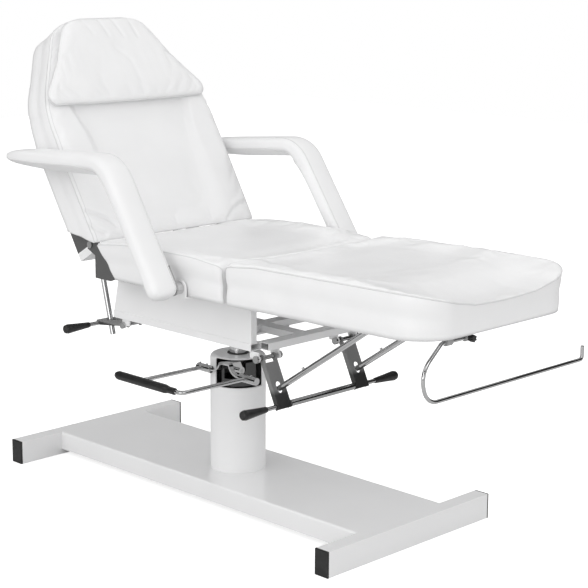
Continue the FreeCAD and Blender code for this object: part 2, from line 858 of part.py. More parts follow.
def pad_board(x0, x1, half_width, z0, thickness, foot_corner):
    """Board with rounded corners, which may be larger at the foot end."""
    board = box(x0, x1, -half_width, half_width, z0, z0 + thickness)
    board = board.makeFillet(board_corner, upright_edges(board, x0))
    return board.makeFillet(foot_corner, upright_edges(board, x1))


def seat_board():
    return pad_board(seat_head_bottom_x + board_inset, seat_foot_x - board_inset,
                     seat_half_width - board_inset, seat_bottom, board_thickness, board_corner)


def seat_cushion():
    pad = smooth_loft(seat_sections())
    recess = pad_board(seat_head_bottom_x + board_inset - soft_gap, seat_foot_x - board_inset + soft_gap,
                       seat_half_width - board_inset + soft_gap, seat_bottom - overrun,
                       board_thickness + overrun + soft_gap, board_corner)
    return pad.cut(recess)


def seat_end_x(z):
    """X of the seat cushion's leaning head end at a height."""
    lean = (seat_head_top_x - seat_head_bottom_x) / (seat_side_height + seat_roll_rise)
    return seat_head_bottom_x + lean * (z - seat_bottom)


def seat_hinge_plate():
    """Plate that carries the backrest bolt, with a flange turned in under the seat board."""
    y0 = hinge_plate_y + hinge_plate_thickness + seat_gap
    y1 = y0 + hinge_plate_thickness
    rear, low = hinge_x + seat_plate_forward, seat_bottom - seat_plate_drop
    foot_x = hinge_x + seat_plate_foot
    outline = [(hinge_x + hinge_nose, hinge_z + hinge_nose), (hinge_x - hinge_nose, hinge_z + hinge_nose / 2),
               (hinge_x - hinge_nose, hinge_z - hinge_nose), (rear, hinge_z - seat_plate_shoulder),
               (rear, low), (foot_x, low), (seat_end_x(seat_bottom) - seat_plate_gap, seat_bottom),
               (seat_end_x(hinge_z) - seat_plate_gap, hinge_z)]
    plate = side_prism(outline, y0, y1)
    flange = box(foot_x - hinge_plate_thickness, seat_head_bottom_x + seat_plate_foot, y1 - seat_plate_flange, y1,
                 seat_bottom - hinge_plate_thickness, seat_bottom)
    hole = y_rod(hinge_x, hinge_z, hinge_bolt_radius, y0 - overrun, y1 + overrun)
    return fuse([plate, flange]).cut(hole)


def hinge_bolt():
    """Bolt fixed in the seat plate; the backrest plate turns on its shank."""
    inner = hinge_plate_y - hinge_bolt_head_height - seat_gap
    outer = hinge_plate_y + hinge_plate_thickness * 2 + seat_gap
    shank = y_rod(hinge_x, hinge_z, hinge_bolt_radius, inner, outer)
    inner_head = y_rod(hinge_x, hinge_z, hinge_bolt_head_radius, inner, inner + hinge_bolt_head_height)
    outer_head = y_rod(hinge_x, hinge_z, hinge_bolt_head_radius, outer, outer + hinge_bolt_head_height)
    return fuse([shank, inner_head, outer_head])


# Backrest

def back_place_point(across, up, out):
    """Point of the backrest: up along its leaning front, out square to it toward the sitter."""
    lean = math.radians(back_lean)
    x = back_foot_x - up * math.sin(lean) + out * math.cos(lean)
    z = back_foot_z + up * math.cos(lean) + out * math.sin(lean)
    return vec(x, across, z)


def back_section_place(front_up, rear_up, thickness):
    def place(across, height):
        up = rear_up + (front_up - rear_up) * height / thickness
        return back_place_point(across, up, height - thickness)
    return place


def back_sections():
    sections = []
    for along, width_share, dish_share in back_width_shares:
        front_up = back_front_start + (back_length - back_front_start) * along
        rear_up = back_rear_start + (back_length - back_rear_start) * along
        half = back_half_width * width_share
        place = back_section_place(front_up, rear_up, back_thickness)
        sections.append(pad_section(place, half - back_base_inset, half, back_thickness, back_roll,
                                    back_roll_rise, back_dish * dish_share, back_draw))
    return sections


def back_half_width_at(up):
    """Half width of the backrest at a height along its front, between the listed stations."""
    along = (up - back_front_start) / (back_length - back_front_start)
    for low, high in zip(back_width_shares, back_width_shares[1:]):
        if low[0] <= along <= high[0]:
            part_way = (along - low[0]) / (high[0] - low[0])
            return back_half_width * (low[1] + (high[1] - low[1]) * part_way)
    return back_half_width * back_width_shares[-1][1]


def back_board_shape(gap, extra):
    """Tapered board in the rear of the backrest, grown by a gap for its recess."""
    corners = []
    top = back_length - back_board_inset
    for up in (back_board_start, back_shoulder, top):
        corners.append((back_half_width_at(up) - back_board_inset - back_board_edge, up))
    corners[0] = (corners[1][0], back_board_start)
    rear, front = -back_thickness - extra, -back_thickness + board_thickness + gap
    outline = []
    for half, up in corners:
        side_up = up - gap if up == back_board_start else up + gap
        outline.append((half + gap, side_up))
    ring = [back_place_point(half, up, rear) for half, up in outline]
    ring += [back_place_point(-half, up, rear) for half, up in reversed(outline)]
    face = Part.Face(Part.makePolygon(ring + ring[:1]))
    direction = back_place_point(0, 0, front) - back_place_point(0, 0, rear)
    return face.extrude(direction)


def backrest_cushion():
    pad = smooth_loft(back_sections())
    return pad.cut(back_board_shape(soft_gap, overrun))


def back_box(across0, across1, up0, up1, out0, out1):
    """Box in the backrest's own directions."""
    block = box(out0, out1, across0, across1, up0, up1)
    block.rotate(vec(0, 0, 0), vec(0, 1, 0), -back_lean)
    block.translate(vec(back_foot_x, 0, back_foot_z))
    return block


def crossbar_top():
    return crossbar_up + crossbar_height / 2


def backrest_crossbar():
    half = hinge_plate_y + hinge_plate_thickness
    up0, up1 = crossbar_up - crossbar_height / 2, crossbar_top()
    out0, out1 = crossbar_out - crossbar_depth / 2, crossbar_out + crossbar_depth / 2
    outer = back_box(-half, half, up0, up1, out0, out1)
    inner = back_box(-half + rail_wall, half - rail_wall, up0 + rail_wall, up1 - rail_wall,
                     out0 + rail_wall, out1 - rail_wall)
    return outer.cut(inner)


def backrest_rail():
    y0, y1 = back_rail_y - back_rail_width / 2, back_rail_y + back_rail_width / 2
    up0 = crossbar_top()
    out1 = -back_thickness
    out0 = out1 - back_rail_depth
    outer = back_box(y0, y1, up0, back_rail_end, out0, out1)
    inner = back_box(y0 + rail_wall, y1 - rail_wall, up0 - overrun, back_rail_end + overrun,
                     out0 + rail_wall, out1 - rail_wall)
    return outer.cut(inner)


def backrest_hinge_plate():
    """Plate that stands on the end of the crossbar and reaches forward to the bolt."""
    y0, y1 = hinge_plate_y, hinge_plate_y + hinge_plate_thickness
    rear_out, front_out = crossbar_out - crossbar_depth / 2, crossbar_out + crossbar_depth / 2
    behind_cushion = -back_thickness - hinge_rear_gap
    top = back_rear_start + hinge_plate_rise
    places = [back_place_point(0, crossbar_top(), rear_out), back_place_point(0, crossbar_top(), front_out),
              vec(hinge_x + hinge_nose / 2, 0, hinge_z - hinge_nose), vec(hinge_x + hinge_nose, 0, hinge_z),
              vec(hinge_x + hinge_nose / 2, 0, hinge_z + hinge_nose),
              back_place_point(0, back_rear_start - hinge_cushion_gap, behind_cushion),
              back_place_point(0, top, behind_cushion), back_place_point(0, top, rear_out)]
    plate = side_prism([(p.x, p.z) for p in places], y0, y1)
    return plate.cut(y_rod(hinge_x, hinge_z, hinge_bolt_radius + running_gap, y0 - overrun, y1 + overrun))


def head_pillow():
    sections = []
    for along, width_share, height_share in pillow_width_shares:
        up = pillow_start + pillow_length * along
        half = pillow_half_width * width_share
        thickness = pillow_thickness * height_share

        def place(across, height, up=up):
            return back_place_point(across, up, pillow_gap + height)
        sections.append(pad_section(place, half - pillow_base_inset, half, thickness, pillow_roll,
                                    pillow_roll_rise * height_share, -pillow_draw, pillow_draw))
    return smooth_loft(sections)


# Legrest

def lifted_legrest(shape):
    return turned(shape, vec(legrest_head_x, 0, seat_bottom), vec(0, 1, 0), -legrest_rise)


def legrest_sections():
    """Straight sections, then narrower and lower ones round the corners of the foot end."""
    height = legrest_side_height + legrest_roll_rise
    bottom_straight = legrest_bottom_end - legrest_corner - legrest_head_x
    top_straight = legrest_top_end - legrest_corner - legrest_head_x
    sections = []

    def add(bottom_run, top_run, half, drop, dish, rise):
        place = seat_place(legrest_head_x + bottom_run, legrest_head_x + top_run, height)
        sections.append(pad_section(place, half - seat_base_inset, half, height - drop, seat_roll, rise,
                                    dish, seat_draw))
    for along, fullness in legrest_straight_shares:
        add(bottom_straight * along, top_straight * along, seat_half_width - seat_base_inset * (1 - fullness),
            seat_end_drop * (1 - fullness), seat_dish * fullness, legrest_roll_rise)
    for turn_share, drop_share, end_share in legrest_corner_shares:
        turn = math.pi / 2 * turn_share
        forward = legrest_corner * math.sin(turn)
        rise = legrest_roll_rise + (seat_roll_rise - legrest_roll_rise) * end_share
        drop = legrest_end_drop * drop_share + legrest_roll_rise - rise
        add(bottom_straight + forward, top_straight + forward,
            seat_half_width - legrest_narrowing * (1 - math.cos(turn)), drop,
            seat_dish + (legrest_end_dish - seat_dish) * end_share, rise)
    return sections


def legrest_board_blank(gap, below):
    """Board under the legrest before it is tilted, grown by a gap for its recess."""
    return pad_board(legrest_head_x + board_inset - gap, legrest_bottom_end - legrest_board_end_inset + gap,
                     seat_half_width - legrest_board_side + gap, seat_bottom - below,
                     board_thickness + below + gap, legrest_board_corner)


def legrest_board():
    return lifted_legrest(legrest_board_blank(0, 0))


def legrest_cushion():
    pad = smooth_loft(legrest_sections())
    return lifted_legrest(pad.cut(legrest_board_blank(soft_gap, overrun)))


def legrest_leaf(side):
    """Hinge leaf under the legrest board with its barrel round the pin."""
    y0 = side * legrest_hinge_y - leaf_width / 2
    y1 = y0 + leaf_width
    leaf = lifted_legrest(box(legrest_hinge_x, legrest_head_x + leaf_length, y0, y1,
                              seat_bottom - leaf_thickness, seat_bottom))
    web = box(legrest_hinge_x, legrest_hinge_x + leaf_barrel_radius, y0, y1,
              legrest_hinge_z, seat_bottom - leaf_thickness / 2)
    barrel = y_rod(legrest_hinge_x, legrest_hinge_z, leaf_barrel_radius, y0, y1)
    bore = y_rod(legrest_hinge_x, legrest_hinge_z, hinge_pin_radius + running_gap, y0 - overrun, y1 + overrun)
    seat_side = box(legrest_hinge_x - leaf_barrel_radius - overrun, legrest_head_x - leaf_seat_gap,
                    y0 - overrun, y1 + overrun, seat_bottom - soft_gap, seat_bottom + rail_height)
    return fuse([leaf, web, barrel]).cut(bore).cut(seat_side)


def legrest_hinge_ears():
    """Two ears under the seat board on each side, one on either side of a leaf."""
    ears = []
    inner = leaf_width / 2 + seat_gap
    for side in (-1, 1):
        for shift in (-1, 1):
            y0 = side * legrest_hinge_y + shift * inner
            y1 = y0 + shift * hinge_ear_thickness
            x0 = legrest_hinge_x - hinge_ear_length
            outline = [(x0, seat_bottom), (x0, seat_bottom - leaf_thickness),
                       (legrest_hinge_x - leaf_barrel_radius, legrest_hinge_z - leaf_barrel_radius),
                       (legrest_hinge_x, legrest_hinge_z - leaf_barrel_radius),
                       (legrest_hinge_x, seat_bottom - leaf_thickness / 2),
                       (seat_foot_x - board_inset, seat_bottom)]
            plate = side_prism(outline, y0, y1)
            nose = y_rod(legrest_hinge_x, legrest_hinge_z, leaf_barrel_radius, y0, y1)
            hole = y_rod(legrest_hinge_x, legrest_hinge_z, hinge_pin_radius, y0 - overrun * shift,
                         y1 + overrun * shift)
            ears.append(fuse([plate, nose]).cut(hole))
    return ears


def legrest_hinge_pins():
    half = leaf_width / 2 + seat_gap + hinge_ear_thickness
    return [y_rod(legrest_hinge_x, legrest_hinge_z, hinge_pin_radius, side * legrest_hinge_y - half,
                  side * legrest_hinge_y + half) for side in (-1, 1)]


# Adjusting rods

def rod_direction(angle):
    return vec(math.cos(math.radians(angle)), 0, math.sin(math.radians(angle)))


def rod_eye(pivot_x, pivot_z, side):
    y0 = side * rod_y - rod_eye_width / 2
    return y_rod(pivot_x, pivot_z, rod_eye_radius, y0, y0 + rod_eye_width)


def slide_rod(pivot_x, pivot_z, direction, length, side):
    """Chrome rod from its eye to its free tail, which has a small chamfer."""
    pivot = vec(pivot_x, side * rod_y, pivot_z)
    shaft = rod(pivot, direction, rod_radius, length)
    end_edge = [e for e in shaft.Edges if (e.CenterOfMass - pivot).Length > length - overrun
                and e.Curve.TypeId == "Part::GeomCircle"]
    shaft = shaft.makeChamfer(edge_break, end_edge)
    bore = y_rod(pivot_x, pivot_z, rod_pin_radius + running_gap, side * rod_y - rod_eye_width,
                 side * rod_y + rod_eye_width)
    flat = rod_eye_width / 2
    beyond = rod_eye_width + flat
    near_pivot = y_rod(pivot_x, pivot_z, rod_eye_radius + overrun, side * rod_y + flat, side * rod_y + beyond)
    far_pivot = y_rod(pivot_x, pivot_z, rod_eye_radius + overrun, side * rod_y - beyond, side * rod_y - flat)
    return fuse([shaft, rod_eye(pivot_x, pivot_z, side)]).cut(bore).cut(near_pivot).cut(far_pivot)


def strap_bolt_place(head_end):
    return (-strap_bolt_x if head_end else strap_bolt_x), strap_bolt_z


def distance_to_slot(pivot_x, pivot_z, direction, bolt_x, bolt_z):
    """Length along the rod from its pivot to the point nearest the strap's bolt."""
    return (bolt_x - pivot_x) * direction.x + (bolt_z - pivot_z) * direction.z


def leg_rod(side):
    direction = rod_direction(leg_rod_angle + 180)
    bolt_x, bolt_z = strap_bolt_place(False)
    to_slot = distance_to_slot(leg_rod_pivot_x, leg_rod_pivot_z, direction, bolt_x, bolt_z)
    shape = slide_rod(leg_rod_pivot_x, leg_rod_pivot_z, direction, to_slot + leg_rod_tail, side)
    start = vec(leg_rod_pivot_x, side * rod_y, leg_rod_pivot_z) + direction * (to_slot - leg_stop_distance)
    up = vec(-direction.z, 0, direction.x)
    up = up if up.z > 0 else up * -1
    stop = rod(start, up, leg_stop_radius, rod_radius + leg_stop_height)
    return fuse([shape, stop])


def back_rod(side):
    direction = rod_direction(back_rod_angle)
    bolt_x, bolt_z = strap_bolt_place(True)
    to_slot = distance_to_slot(back_rod_pivot_x, back_rod_pivot_z, direction, bolt_x, bolt_z)
    return slide_rod(back_rod_pivot_x, back_rod_pivot_z, direction, to_slot + back_rod_tail, side)


def rod_ears(pivot_x, pivot_z, base_points):
    """Two ears on each side round a rod's eye. The base points lie on what carries them."""
    ears = []
    inner = rod_eye_width / 2 + rod_ear_gap
    radius = rod_pin_radius + rod_ear_margin
    for side in (-1, 1):
        for shift in (-1, 1):
            y0 = side * rod_y + shift * inner
            y1 = y0 + shift * rod_ear_thickness
            nose = y_rod(pivot_x, pivot_z, radius, y0, y1)
            first, second = base_points
            towards = vec(second[0] - first[0], 0, second[1] - first[1]).normalize()
            outline = [first, second, (pivot_x + towards.x * radius, pivot_z + towards.z * radius),
                       (pivot_x - towards.x * radius, pivot_z - towards.z * radius)]
            plate = side_prism(outline, y0, y1)
            hole = y_rod(pivot_x, pivot_z, rod_pin_radius, y0 - overrun * shift, y1 + overrun * shift)
            ears.append(fuse([plate, nose]).cut(hole))
    return ears


def rod_pins(pivot_x, pivot_z):
    half = rod_eye_width / 2 + rod_ear_gap + rod_ear_thickness
    return [y_rod(pivot_x, pivot_z, rod_pin_radius, side * rod_y - half, side * rod_y + half)
            for side in (-1, 1)]


def leg_rod_ears():
    """Ears under the legrest board, which rises toward the foot end."""
    ends = []
    for x in (leg_rod_pivot_x - rod_ear_half_base, leg_rod_pivot_x + rod_ear_half_base):
        ends.append((x, legrest_under_z(x)))
    return rod_ears(leg_rod_pivot_x, leg_rod_pivot_z, ends)


def back_rod_ears():
    """Ears on the rear of the backrest rails."""
    lean = math.radians(back_lean)
    offset = vec(back_rod_pivot_x - back_foot_x, 0, back_rod_pivot_z - back_foot_z)
    up_here = -offset.x * math.sin(lean) + offset.z * math.cos(lean)
    out = -back_thickness - back_rail_depth
    half_base = rod_ear_half_base
    ends = [back_place_point(0, up_here - half_base, out), back_place_point(0, up_here + half_base, out)]
    return rod_ears(back_rod_pivot_x, back_rod_pivot_z, [(p.x, p.z) for p in ends])


# Release straps and their handle bars

def strap_flat(slot_near, slot_far):
    """Channel strap lying along X from its bolt, with its web on top and a slot for the rod."""
    half = strap_width / 2
    web_bottom = strap_flange - strap_bolt_head_radius
    web_top = web_bottom + strap_sheet
    bottom = web_top - strap_flange
    end = strap_reach + strap_end_margin
    web = box(strap_web_start, end, -half, half, web_bottom, web_top)
    flanges = []
    for side in (-1, 1):
        y0, y1 = side * half, side * (half - strap_sheet)
        plate = box(0, end, y0, y1, bottom, web_top)
        nose = y_rod(0, 0, strap_bolt_head_radius, y0, y1)
        flanges.append(fuse([plate, nose]))
    slot_half = rod_radius + strap_slot_gap
    start, stop = slot_near, slot_far
    slot = box(start, stop, -slot_half, slot_half, bottom, web_top + overrun)
    for x in (start, stop):
        slot = slot.fuse(rod(vec(x, 0, bottom), vec(0, 0, 1), slot_half, strap_flange + overrun))
    bolt_hole = y_rod(0, 0, strap_bolt_radius + running_gap, -strap_width, strap_width)
    bar_hole = y_rod(strap_reach, bar_offset(), bar_radius, -strap_width, strap_width)
    return fuse([web] + flanges).cut(slot).cut(bolt_hole).cut(bar_hole)


def bar_offset():
    return strap_flange - strap_bolt_head_radius - bar_radius - seat_gap


def placed_strap(shape, head_end, angle):
    """Puts a strap drawn along X at its bolt, turned to its angle in the XZ plane."""
    x, z = strap_bolt_place(head_end)
    return moved(turned(shape, vec(0, 0, 0), vec(0, 1, 0), -angle), x, 0, z)


def strap_shape(head_end):
    """The web faces up on both straps, so the head end's strap is turned over."""
    if head_end:
        flat = strap_flat(back_slot_near, back_slot_far)
        return turned(flat, vec(0, 0, 0), vec(1, 0, 0), 180), back_strap_angle
    return strap_flat(leg_slot_near, leg_slot_far), leg_strap_angle


def straps(head_end):
    flat, angle = strap_shape(head_end)
    return [moved(placed_strap(flat, head_end, angle), 0, side * rod_y, 0) for side in (-1, 1)]


def bar_place(head_end):
    offset = -bar_offset() if head_end else bar_offset()
    angle = back_strap_angle if head_end else leg_strap_angle
    x, z = strap_bolt_place(head_end)
    turn = math.radians(angle)
    return (x + strap_reach * math.cos(turn) - offset * math.sin(turn),
            z + strap_reach * math.sin(turn) + offset * math.cos(turn))


def handle_bar(head_end):
    """Thin bar with a thicker sleeve between the straps."""
    x, z = bar_place(head_end)
    reach = grip_end - grip_overlap
    thin = y_rod(x, z, bar_radius, -reach, reach)
    sleeve = y_rod(x, z, bar_sleeve_radius, -bar_sleeve_half_length, bar_sleeve_half_length)
    return fuse([thin, sleeve])


def grips(head_end):
    """Tapered handle grips, thickest near their rounded outer ends."""
    x, z = bar_place(head_end)
    start = grip_end - grip_length
    profile_shares = ((0.00, 1.00), (0.10, 1.08), (0.55, 1.45), (0.86, 1.75), (0.96, 1.50), (1.00, 0.90))
    bore_end = grip_end - grip_overlap
    points = [vec(x, start, z + bar_radius)]
    points += [vec(x, start + grip_length * along, z + grip_neck_radius * width)
               for along, width in profile_shares]
    points += [vec(x, grip_end, z), vec(x, bore_end, z), vec(x, bore_end, z + bar_radius)]
    face = Part.Face(Part.makePolygon(points + points[:1]))
    grip = face.revolve(vec(x, 0, z), vec(0, 1, 0), 360)
    return both_sides(grip)


def strap_ears():
    """Ears that hang from the end members, a pair round each strap."""
    ears = []
    for head_end in (True, False):
        x, z = strap_bolt_place(head_end)
        half = strap_ear_width / 2
        member = -end_member_x if head_end else end_member_x
        for side in (-1, 1):
            for shift in (-1, 1):
                y0 = side * rod_y + shift * strap_ear_offset
                y1 = y0 + shift * strap_ear_thickness
                plate = box(member - half, member + half, y0, y1, z, frame_bottom)
                nose = y_rod(x, z, strap_bolt_head_radius, y0, y1)
                hole = y_rod(x, z, strap_bolt_radius, y0 - overrun * shift, y1 + overrun * shift)
                ears.append(fuse([plate, nose]).cut(hole))
    return ears


def strap_bolts():
    """Long bolts through both ears, with a head on the near side and a nut on the far side."""
    bolts = []
    half = strap_ear_offset + strap_ear_thickness
    for head_end in (True, False):
        x, z = strap_bolt_place(head_end)
        for side in (-1, 1):
            y = side * rod_y
            shank = y_rod(x, z, strap_bolt_radius, y - half, y + half)
            head = y_rod(x, z, strap_bolt_head_radius, y - half - strap_bolt_head_height, y - half)
            nut = y_rod(x, z, strap_bolt_head_radius, y + half, y + half + strap_bolt_head_height)
            bolts.append(fuse([shank, head, nut]))
    return bolts


# Armrests

def arm_y():
    return seat_half_width + arm_side_gap + arm_width / 2


def arm_path_frames():
    """Centre points and directions along the armrest, from its foot up over the knee to the tip."""
    foot = vec(arm_pivot_x, 0, arm_pivot_z)
    knee = vec(arm_knee_x, 0, arm_knee_z)
    tip = vec(arm_tip_x, 0, arm_tip_z)
    rise = (knee - foot).normalize()
    run = (tip - knee).normalize()
    half_turn = rise.getAngle(run) / 2
    reach = arm_knee_bend * math.tan(half_turn)
    start, end = knee - rise * reach, knee + run * reach
    inward = (run - rise).normalize()
    centre = knee + inward * (arm_knee_bend / math.cos(half_turn))
    frames = [(foot - rise * (arm_foot_length * below), rise, fullness) for below, fullness in arm_foot_shares]
    frames += [(foot + (start - foot) * arm_post_share, rise, 1.0), (start, rise, 1.0)]
    for share in arm_knee_shares:
        turn = FreeCAD.Rotation(vec(0, 1, 0), -math.degrees(half_turn * 2 * share))
        frames.append((centre + turn.multVec(start - centre), turn.multVec(rise), 1.0))
    frames.append((end, run, 1.0))
    for along, fullness in arm_run_shares:
        frames.append((end + (tip - end) * along, run, fullness))
    return frames


def arm_section(centre, heading, fullness):
    """Flat, wide section with slightly crowned sides and rounded corners."""
    out = vec(heading.z, 0, -heading.x) * (arm_thickness / 2 * fullness)
    side = vec(0, arm_width / 2 * fullness, 0)
    edges = []
    ends = []
    for ahead, beside in ((out, side), (side, -out), (-out, -side), (-side, out)):
        start = centre + ahead * arm_edge_share - beside * arm_flat_share
        end = centre + ahead * arm_edge_share + beside * arm_flat_share
        ends.append((start, centre + ahead, end, centre + (ahead + beside) * arm_corner_share))
    for index, (start, middle, end, corner) in enumerate(ends):
        edges.append(Part.Arc(start, middle, end).toShape())
        edges.append(Part.Arc(end, corner, ends[(index + 1) % len(ends)][0]).toShape())
    return Part.Wire(edges)


def armrest_pad():
    sections = [arm_section(centre, heading, fullness) for centre, heading, fullness in arm_path_frames()]
    pad = smooth_loft(sections)
    pad = moved(pad, 0, arm_y(), 0)
    return pad.cut(arm_core_block(soft_gap)).cut(arm_flange_pocket())


def arm_inner_y():
    return seat_half_width + arm_side_gap


def arm_core_block(gap):
    """Flat steel bar on the inner face of the armrest's post, rounded round the pivot."""
    foot = vec(arm_pivot_x, 0, arm_pivot_z)
    rise = (vec(arm_knee_x, 0, arm_knee_z) - foot).normalize()
    half = arm_core_width / 2 + gap
    y0 = arm_inner_y() - (overrun if gap else 0)
    y1 = arm_inner_y() + arm_core_thickness + gap
    across = vec(rise.z, 0, -rise.x) * half
    top = foot + rise * (arm_core_length + gap)
    bar = side_prism([((foot + across).x, (foot + across).z), ((top + across).x, (top + across).z),
                      ((top - across).x, (top - across).z), ((foot - across).x, (foot - across).z)], y0, y1)
    return fuse([bar, y_rod(foot.x, foot.z, half, y0, y1)])


def arm_flange_pocket():
    y0 = arm_inner_y()
    y1 = y0 + arm_core_thickness + arm_axle_flange + arm_pocket_gap
    return y_rod(arm_pivot_x, arm_pivot_z, arm_axle_flange_radius + arm_pocket_gap, y0, y1)


def armrest_core():
    core = arm_core_block(0)
    hole = y_rod(arm_pivot_x, arm_pivot_z, arm_axle_radius + running_gap, arm_inner_y() - overrun,
                 arm_y())
    return core.cut(hole)


def arm_bracket_outer_y():
    return seat_half_width + arm_bracket_gap + arm_bracket_thickness


def armrest_axle():
    """Axle welded to its bracket, with a spacer washer and a flange that keeps the armrest on."""
    bracket_outer = arm_bracket_outer_y()
    core_inner = arm_inner_y()
    core_outer = core_inner + arm_core_thickness
    flange_start = core_outer + seat_gap
    shank = y_rod(arm_pivot_x, arm_pivot_z, arm_axle_radius, bracket_outer, flange_start)
    washer = y_rod(arm_pivot_x, arm_pivot_z, arm_washer_radius, bracket_outer, core_inner - seat_gap)
    flange = y_rod(arm_pivot_x, arm_pivot_z, arm_axle_flange_radius, flange_start,
                   flange_start + arm_axle_flange)
    return fuse([shank, washer, flange])


def armrest_bracket():
    """Angle under the seat board that turns up beside the cushion and holds the axle."""
    y1 = arm_bracket_outer_y()
    y0 = y1 - arm_bracket_thickness
    half = arm_bracket_width / 2
    arm = box(arm_pivot_x - half, arm_pivot_x + half, frame_half_width + arm_bracket_frame_gap, y1,
              seat_bottom - arm_bracket_thickness - soft_gap, seat_bottom - soft_gap)
    upright = box(arm_pivot_x - half, arm_pivot_x + half, y0, y1,
                  seat_bottom - arm_bracket_thickness - soft_gap, arm_pivot_z)
    head = y_rod(arm_pivot_x, arm_pivot_z, half, y0, y1)
    return fuse([arm, upright, head])


# Paper roll holder

def legrest_under_z(x):
    """Height of the underside of the tilted legrest board."""
    return seat_bottom + (x - legrest_head_x) * math.tan(math.radians(legrest_rise))


def roll_axis_z():
    return legrest_under_z(roll_axis_x) - roll_plate_thickness - roll_hang


def roll_blocks():
    first = roll_block_inset - seat_half_width
    return [first, first + roll_block_spacing]


def roll_bracket():
    """Plate under the legrest with two split clamp blocks."""
    z = roll_axis_z()
    x0, x1 = roll_axis_x - roll_plate_head, roll_axis_x + roll_plate_foot
    end = roll_block_width / 2
    y0, y1 = roll_blocks()[0] - end, roll_blocks()[1] + end
    top = legrest_under_z(x0) - seat_gap
    pieces = [box(x0, x1, y0, y1, top - roll_plate_thickness, top)]
    for y in roll_blocks():
        pieces.append(y_rod(roll_axis_x, z, roll_block_radius, y - end, y + end))
        pieces.append(box(roll_axis_x - roll_block_radius, roll_axis_x + roll_block_radius, y - end, y + end,
                          z, top - roll_plate_thickness / 2))
    bore = y_rod(roll_axis_x, z, roll_rod_radius + running_gap, y0 - overrun, y1 + overrun)
    thread = rod(vec(roll_axis_x + roll_rod_radius, roll_blocks()[1], z), vec(1, 0, 0),
                 knob_shaft_radius + running_gap, roll_block_radius)
    return fuse(pieces).cut(bore).cut(thread)


def roll_rod():
    """Bent rod: through both blocks, down in a bow on the near side, and across to a turned-up tip."""
    x, z = roll_axis_x, roll_axis_z()
    low = z - roll_drop
    first, second = roll_blocks()
    end = roll_block_width / 2
    near = first - end - roll_bend - seat_gap
    far = seat_half_width + roll_far_overhang
    points = [vec(x, second + end + roll_inner_overhang, z), vec(x, near, z),
              vec(x, near - roll_bulge, z - roll_bulge_drop), vec(x, near - roll_bulge + roll_return, low),
              vec(x, far, low), vec(x, far, low + roll_tip)]
    bends = [roll_bend, roll_bow_bend, roll_wide_bend, roll_tip_bend]
    return bent_rod(points, bends, roll_rod_radius)


def roll_knob():
    """Clamp knob whose screw presses on the rod in the second block."""
    y, z = roll_blocks()[1], roll_axis_z()
    x0 = roll_axis_x + roll_block_radius + seat_gap
    start = roll_axis_x + roll_rod_radius + seat_gap
    shaft = rod(vec(start, y, z), vec(1, 0, 0), knob_shaft_radius, x0 - start + seat_gap)
    head = rod(vec(x0, y, z), vec(1, 0, 0), knob_radius, knob_height)
    grooves = []
    for index in range(knob_lobes):
        turn = 2 * math.pi * index / knob_lobes
        centre = vec(x0 - overrun, y + knob_radius * math.cos(turn), z + knob_radius * math.sin(turn))
        grooves.append(rod(centre, vec(1, 0, 0), knob_lobe_radius, knob_height + overrun * 2))
    return fuse([shaft, head.cut(fuse(grooves))])


# Export, body by body

export("head_cross_tube", cross_tube(-tube_outer_head, -tube_outer_head + tube_width))
export("foot_cross_tube", cross_tube(tube_outer_foot - tube_width, tube_outer_foot))
export("cross_tube_caps", group(tube_caps()))
export("base_plate", base_plate())
export("column_tube", column_tube())
export("column_cover", column_cover())
export("pump_body", pump_body())
export("pump_gland", pump_gland())
export("yoke_axle", yoke_axle())

export("pedal_yoke", pedal_yoke())
export("pedal_hubs", group([hub_with_bore(-1), hub_with_bore(1)]))
export("hub_screws", group(hub_screws()))
export("pedal_rod", pedal_rod())
export("pedal_grip", pedal_grip())

export("piston", piston())
export("mount_plate", mount_plate())
export("mount_bolts", group(mount_bolts()))
export("cross_members", group([cross_member(x) for x in member_places()]))
export("centre_rails", group(centre_rails()))
export("side_rails", group(both_sides(side_rail())))
far_panel, near_panel = both_sides(side_panel())
export("side_panel_far", far_panel)
export("side_panel_near", near_panel)
export("strap_ears", group(strap_ears()))
export("strap_bolts", group(strap_bolts()))
export("seat_board", seat_board())
export("seat_cushion", seat_cushion())
export("seat_hinge_plates", group(both_sides(seat_hinge_plate())))
export("hinge_bolts", group(both_sides(hinge_bolt())))
export("legrest_hinge_ears", group(legrest_hinge_ears()))
export("legrest_hinge_pins", group(legrest_hinge_pins()))
export("armrest_brackets", group(both_sides(armrest_bracket())))
export("armrest_axles", group(both_sides(armrest_axle())))

export("backrest_board", back_board_shape(0, 0))
export("backrest_cushion", backrest_cushion())
export("head_pillow", head_pillow())
export("backrest_crossbar", backrest_crossbar())
export("backrest_rails", group(both_sides(backrest_rail())))
export("backrest_hinge_plates", group(both_sides(backrest_hinge_plate())))
export("backrest_rod_ears", group(back_rod_ears()))
export("backrest_rod_pins", group(rod_pins(back_rod_pivot_x, back_rod_pivot_z)))
export("backrest_rods", group([back_rod(-1), back_rod(1)]))
export("backrest_straps", group(straps(True)))
export("backrest_handle_bar", handle_bar(True))
export("backrest_grips", group(grips(True)))

export("legrest_board", legrest_board())
export("legrest_cushion", legrest_cushion())
export("legrest_leaves", group([legrest_leaf(-1), legrest_leaf(1)]))
export("legrest_rod_ears", group(leg_rod_ears()))
export("legrest_rod_pins", group(rod_pins(leg_rod_pivot_x, leg_rod_pivot_z)))
export("legrest_rods", group([leg_rod(-1), leg_rod(1)]))
export("legrest_straps", group(straps(False)))
export("legrest_handle_bar", handle_bar(False))
export("legrest_grips", group(grips(False)))
export("roll_bracket", roll_bracket())
export("roll_rod", roll_rod())
export("roll_knob", roll_knob())

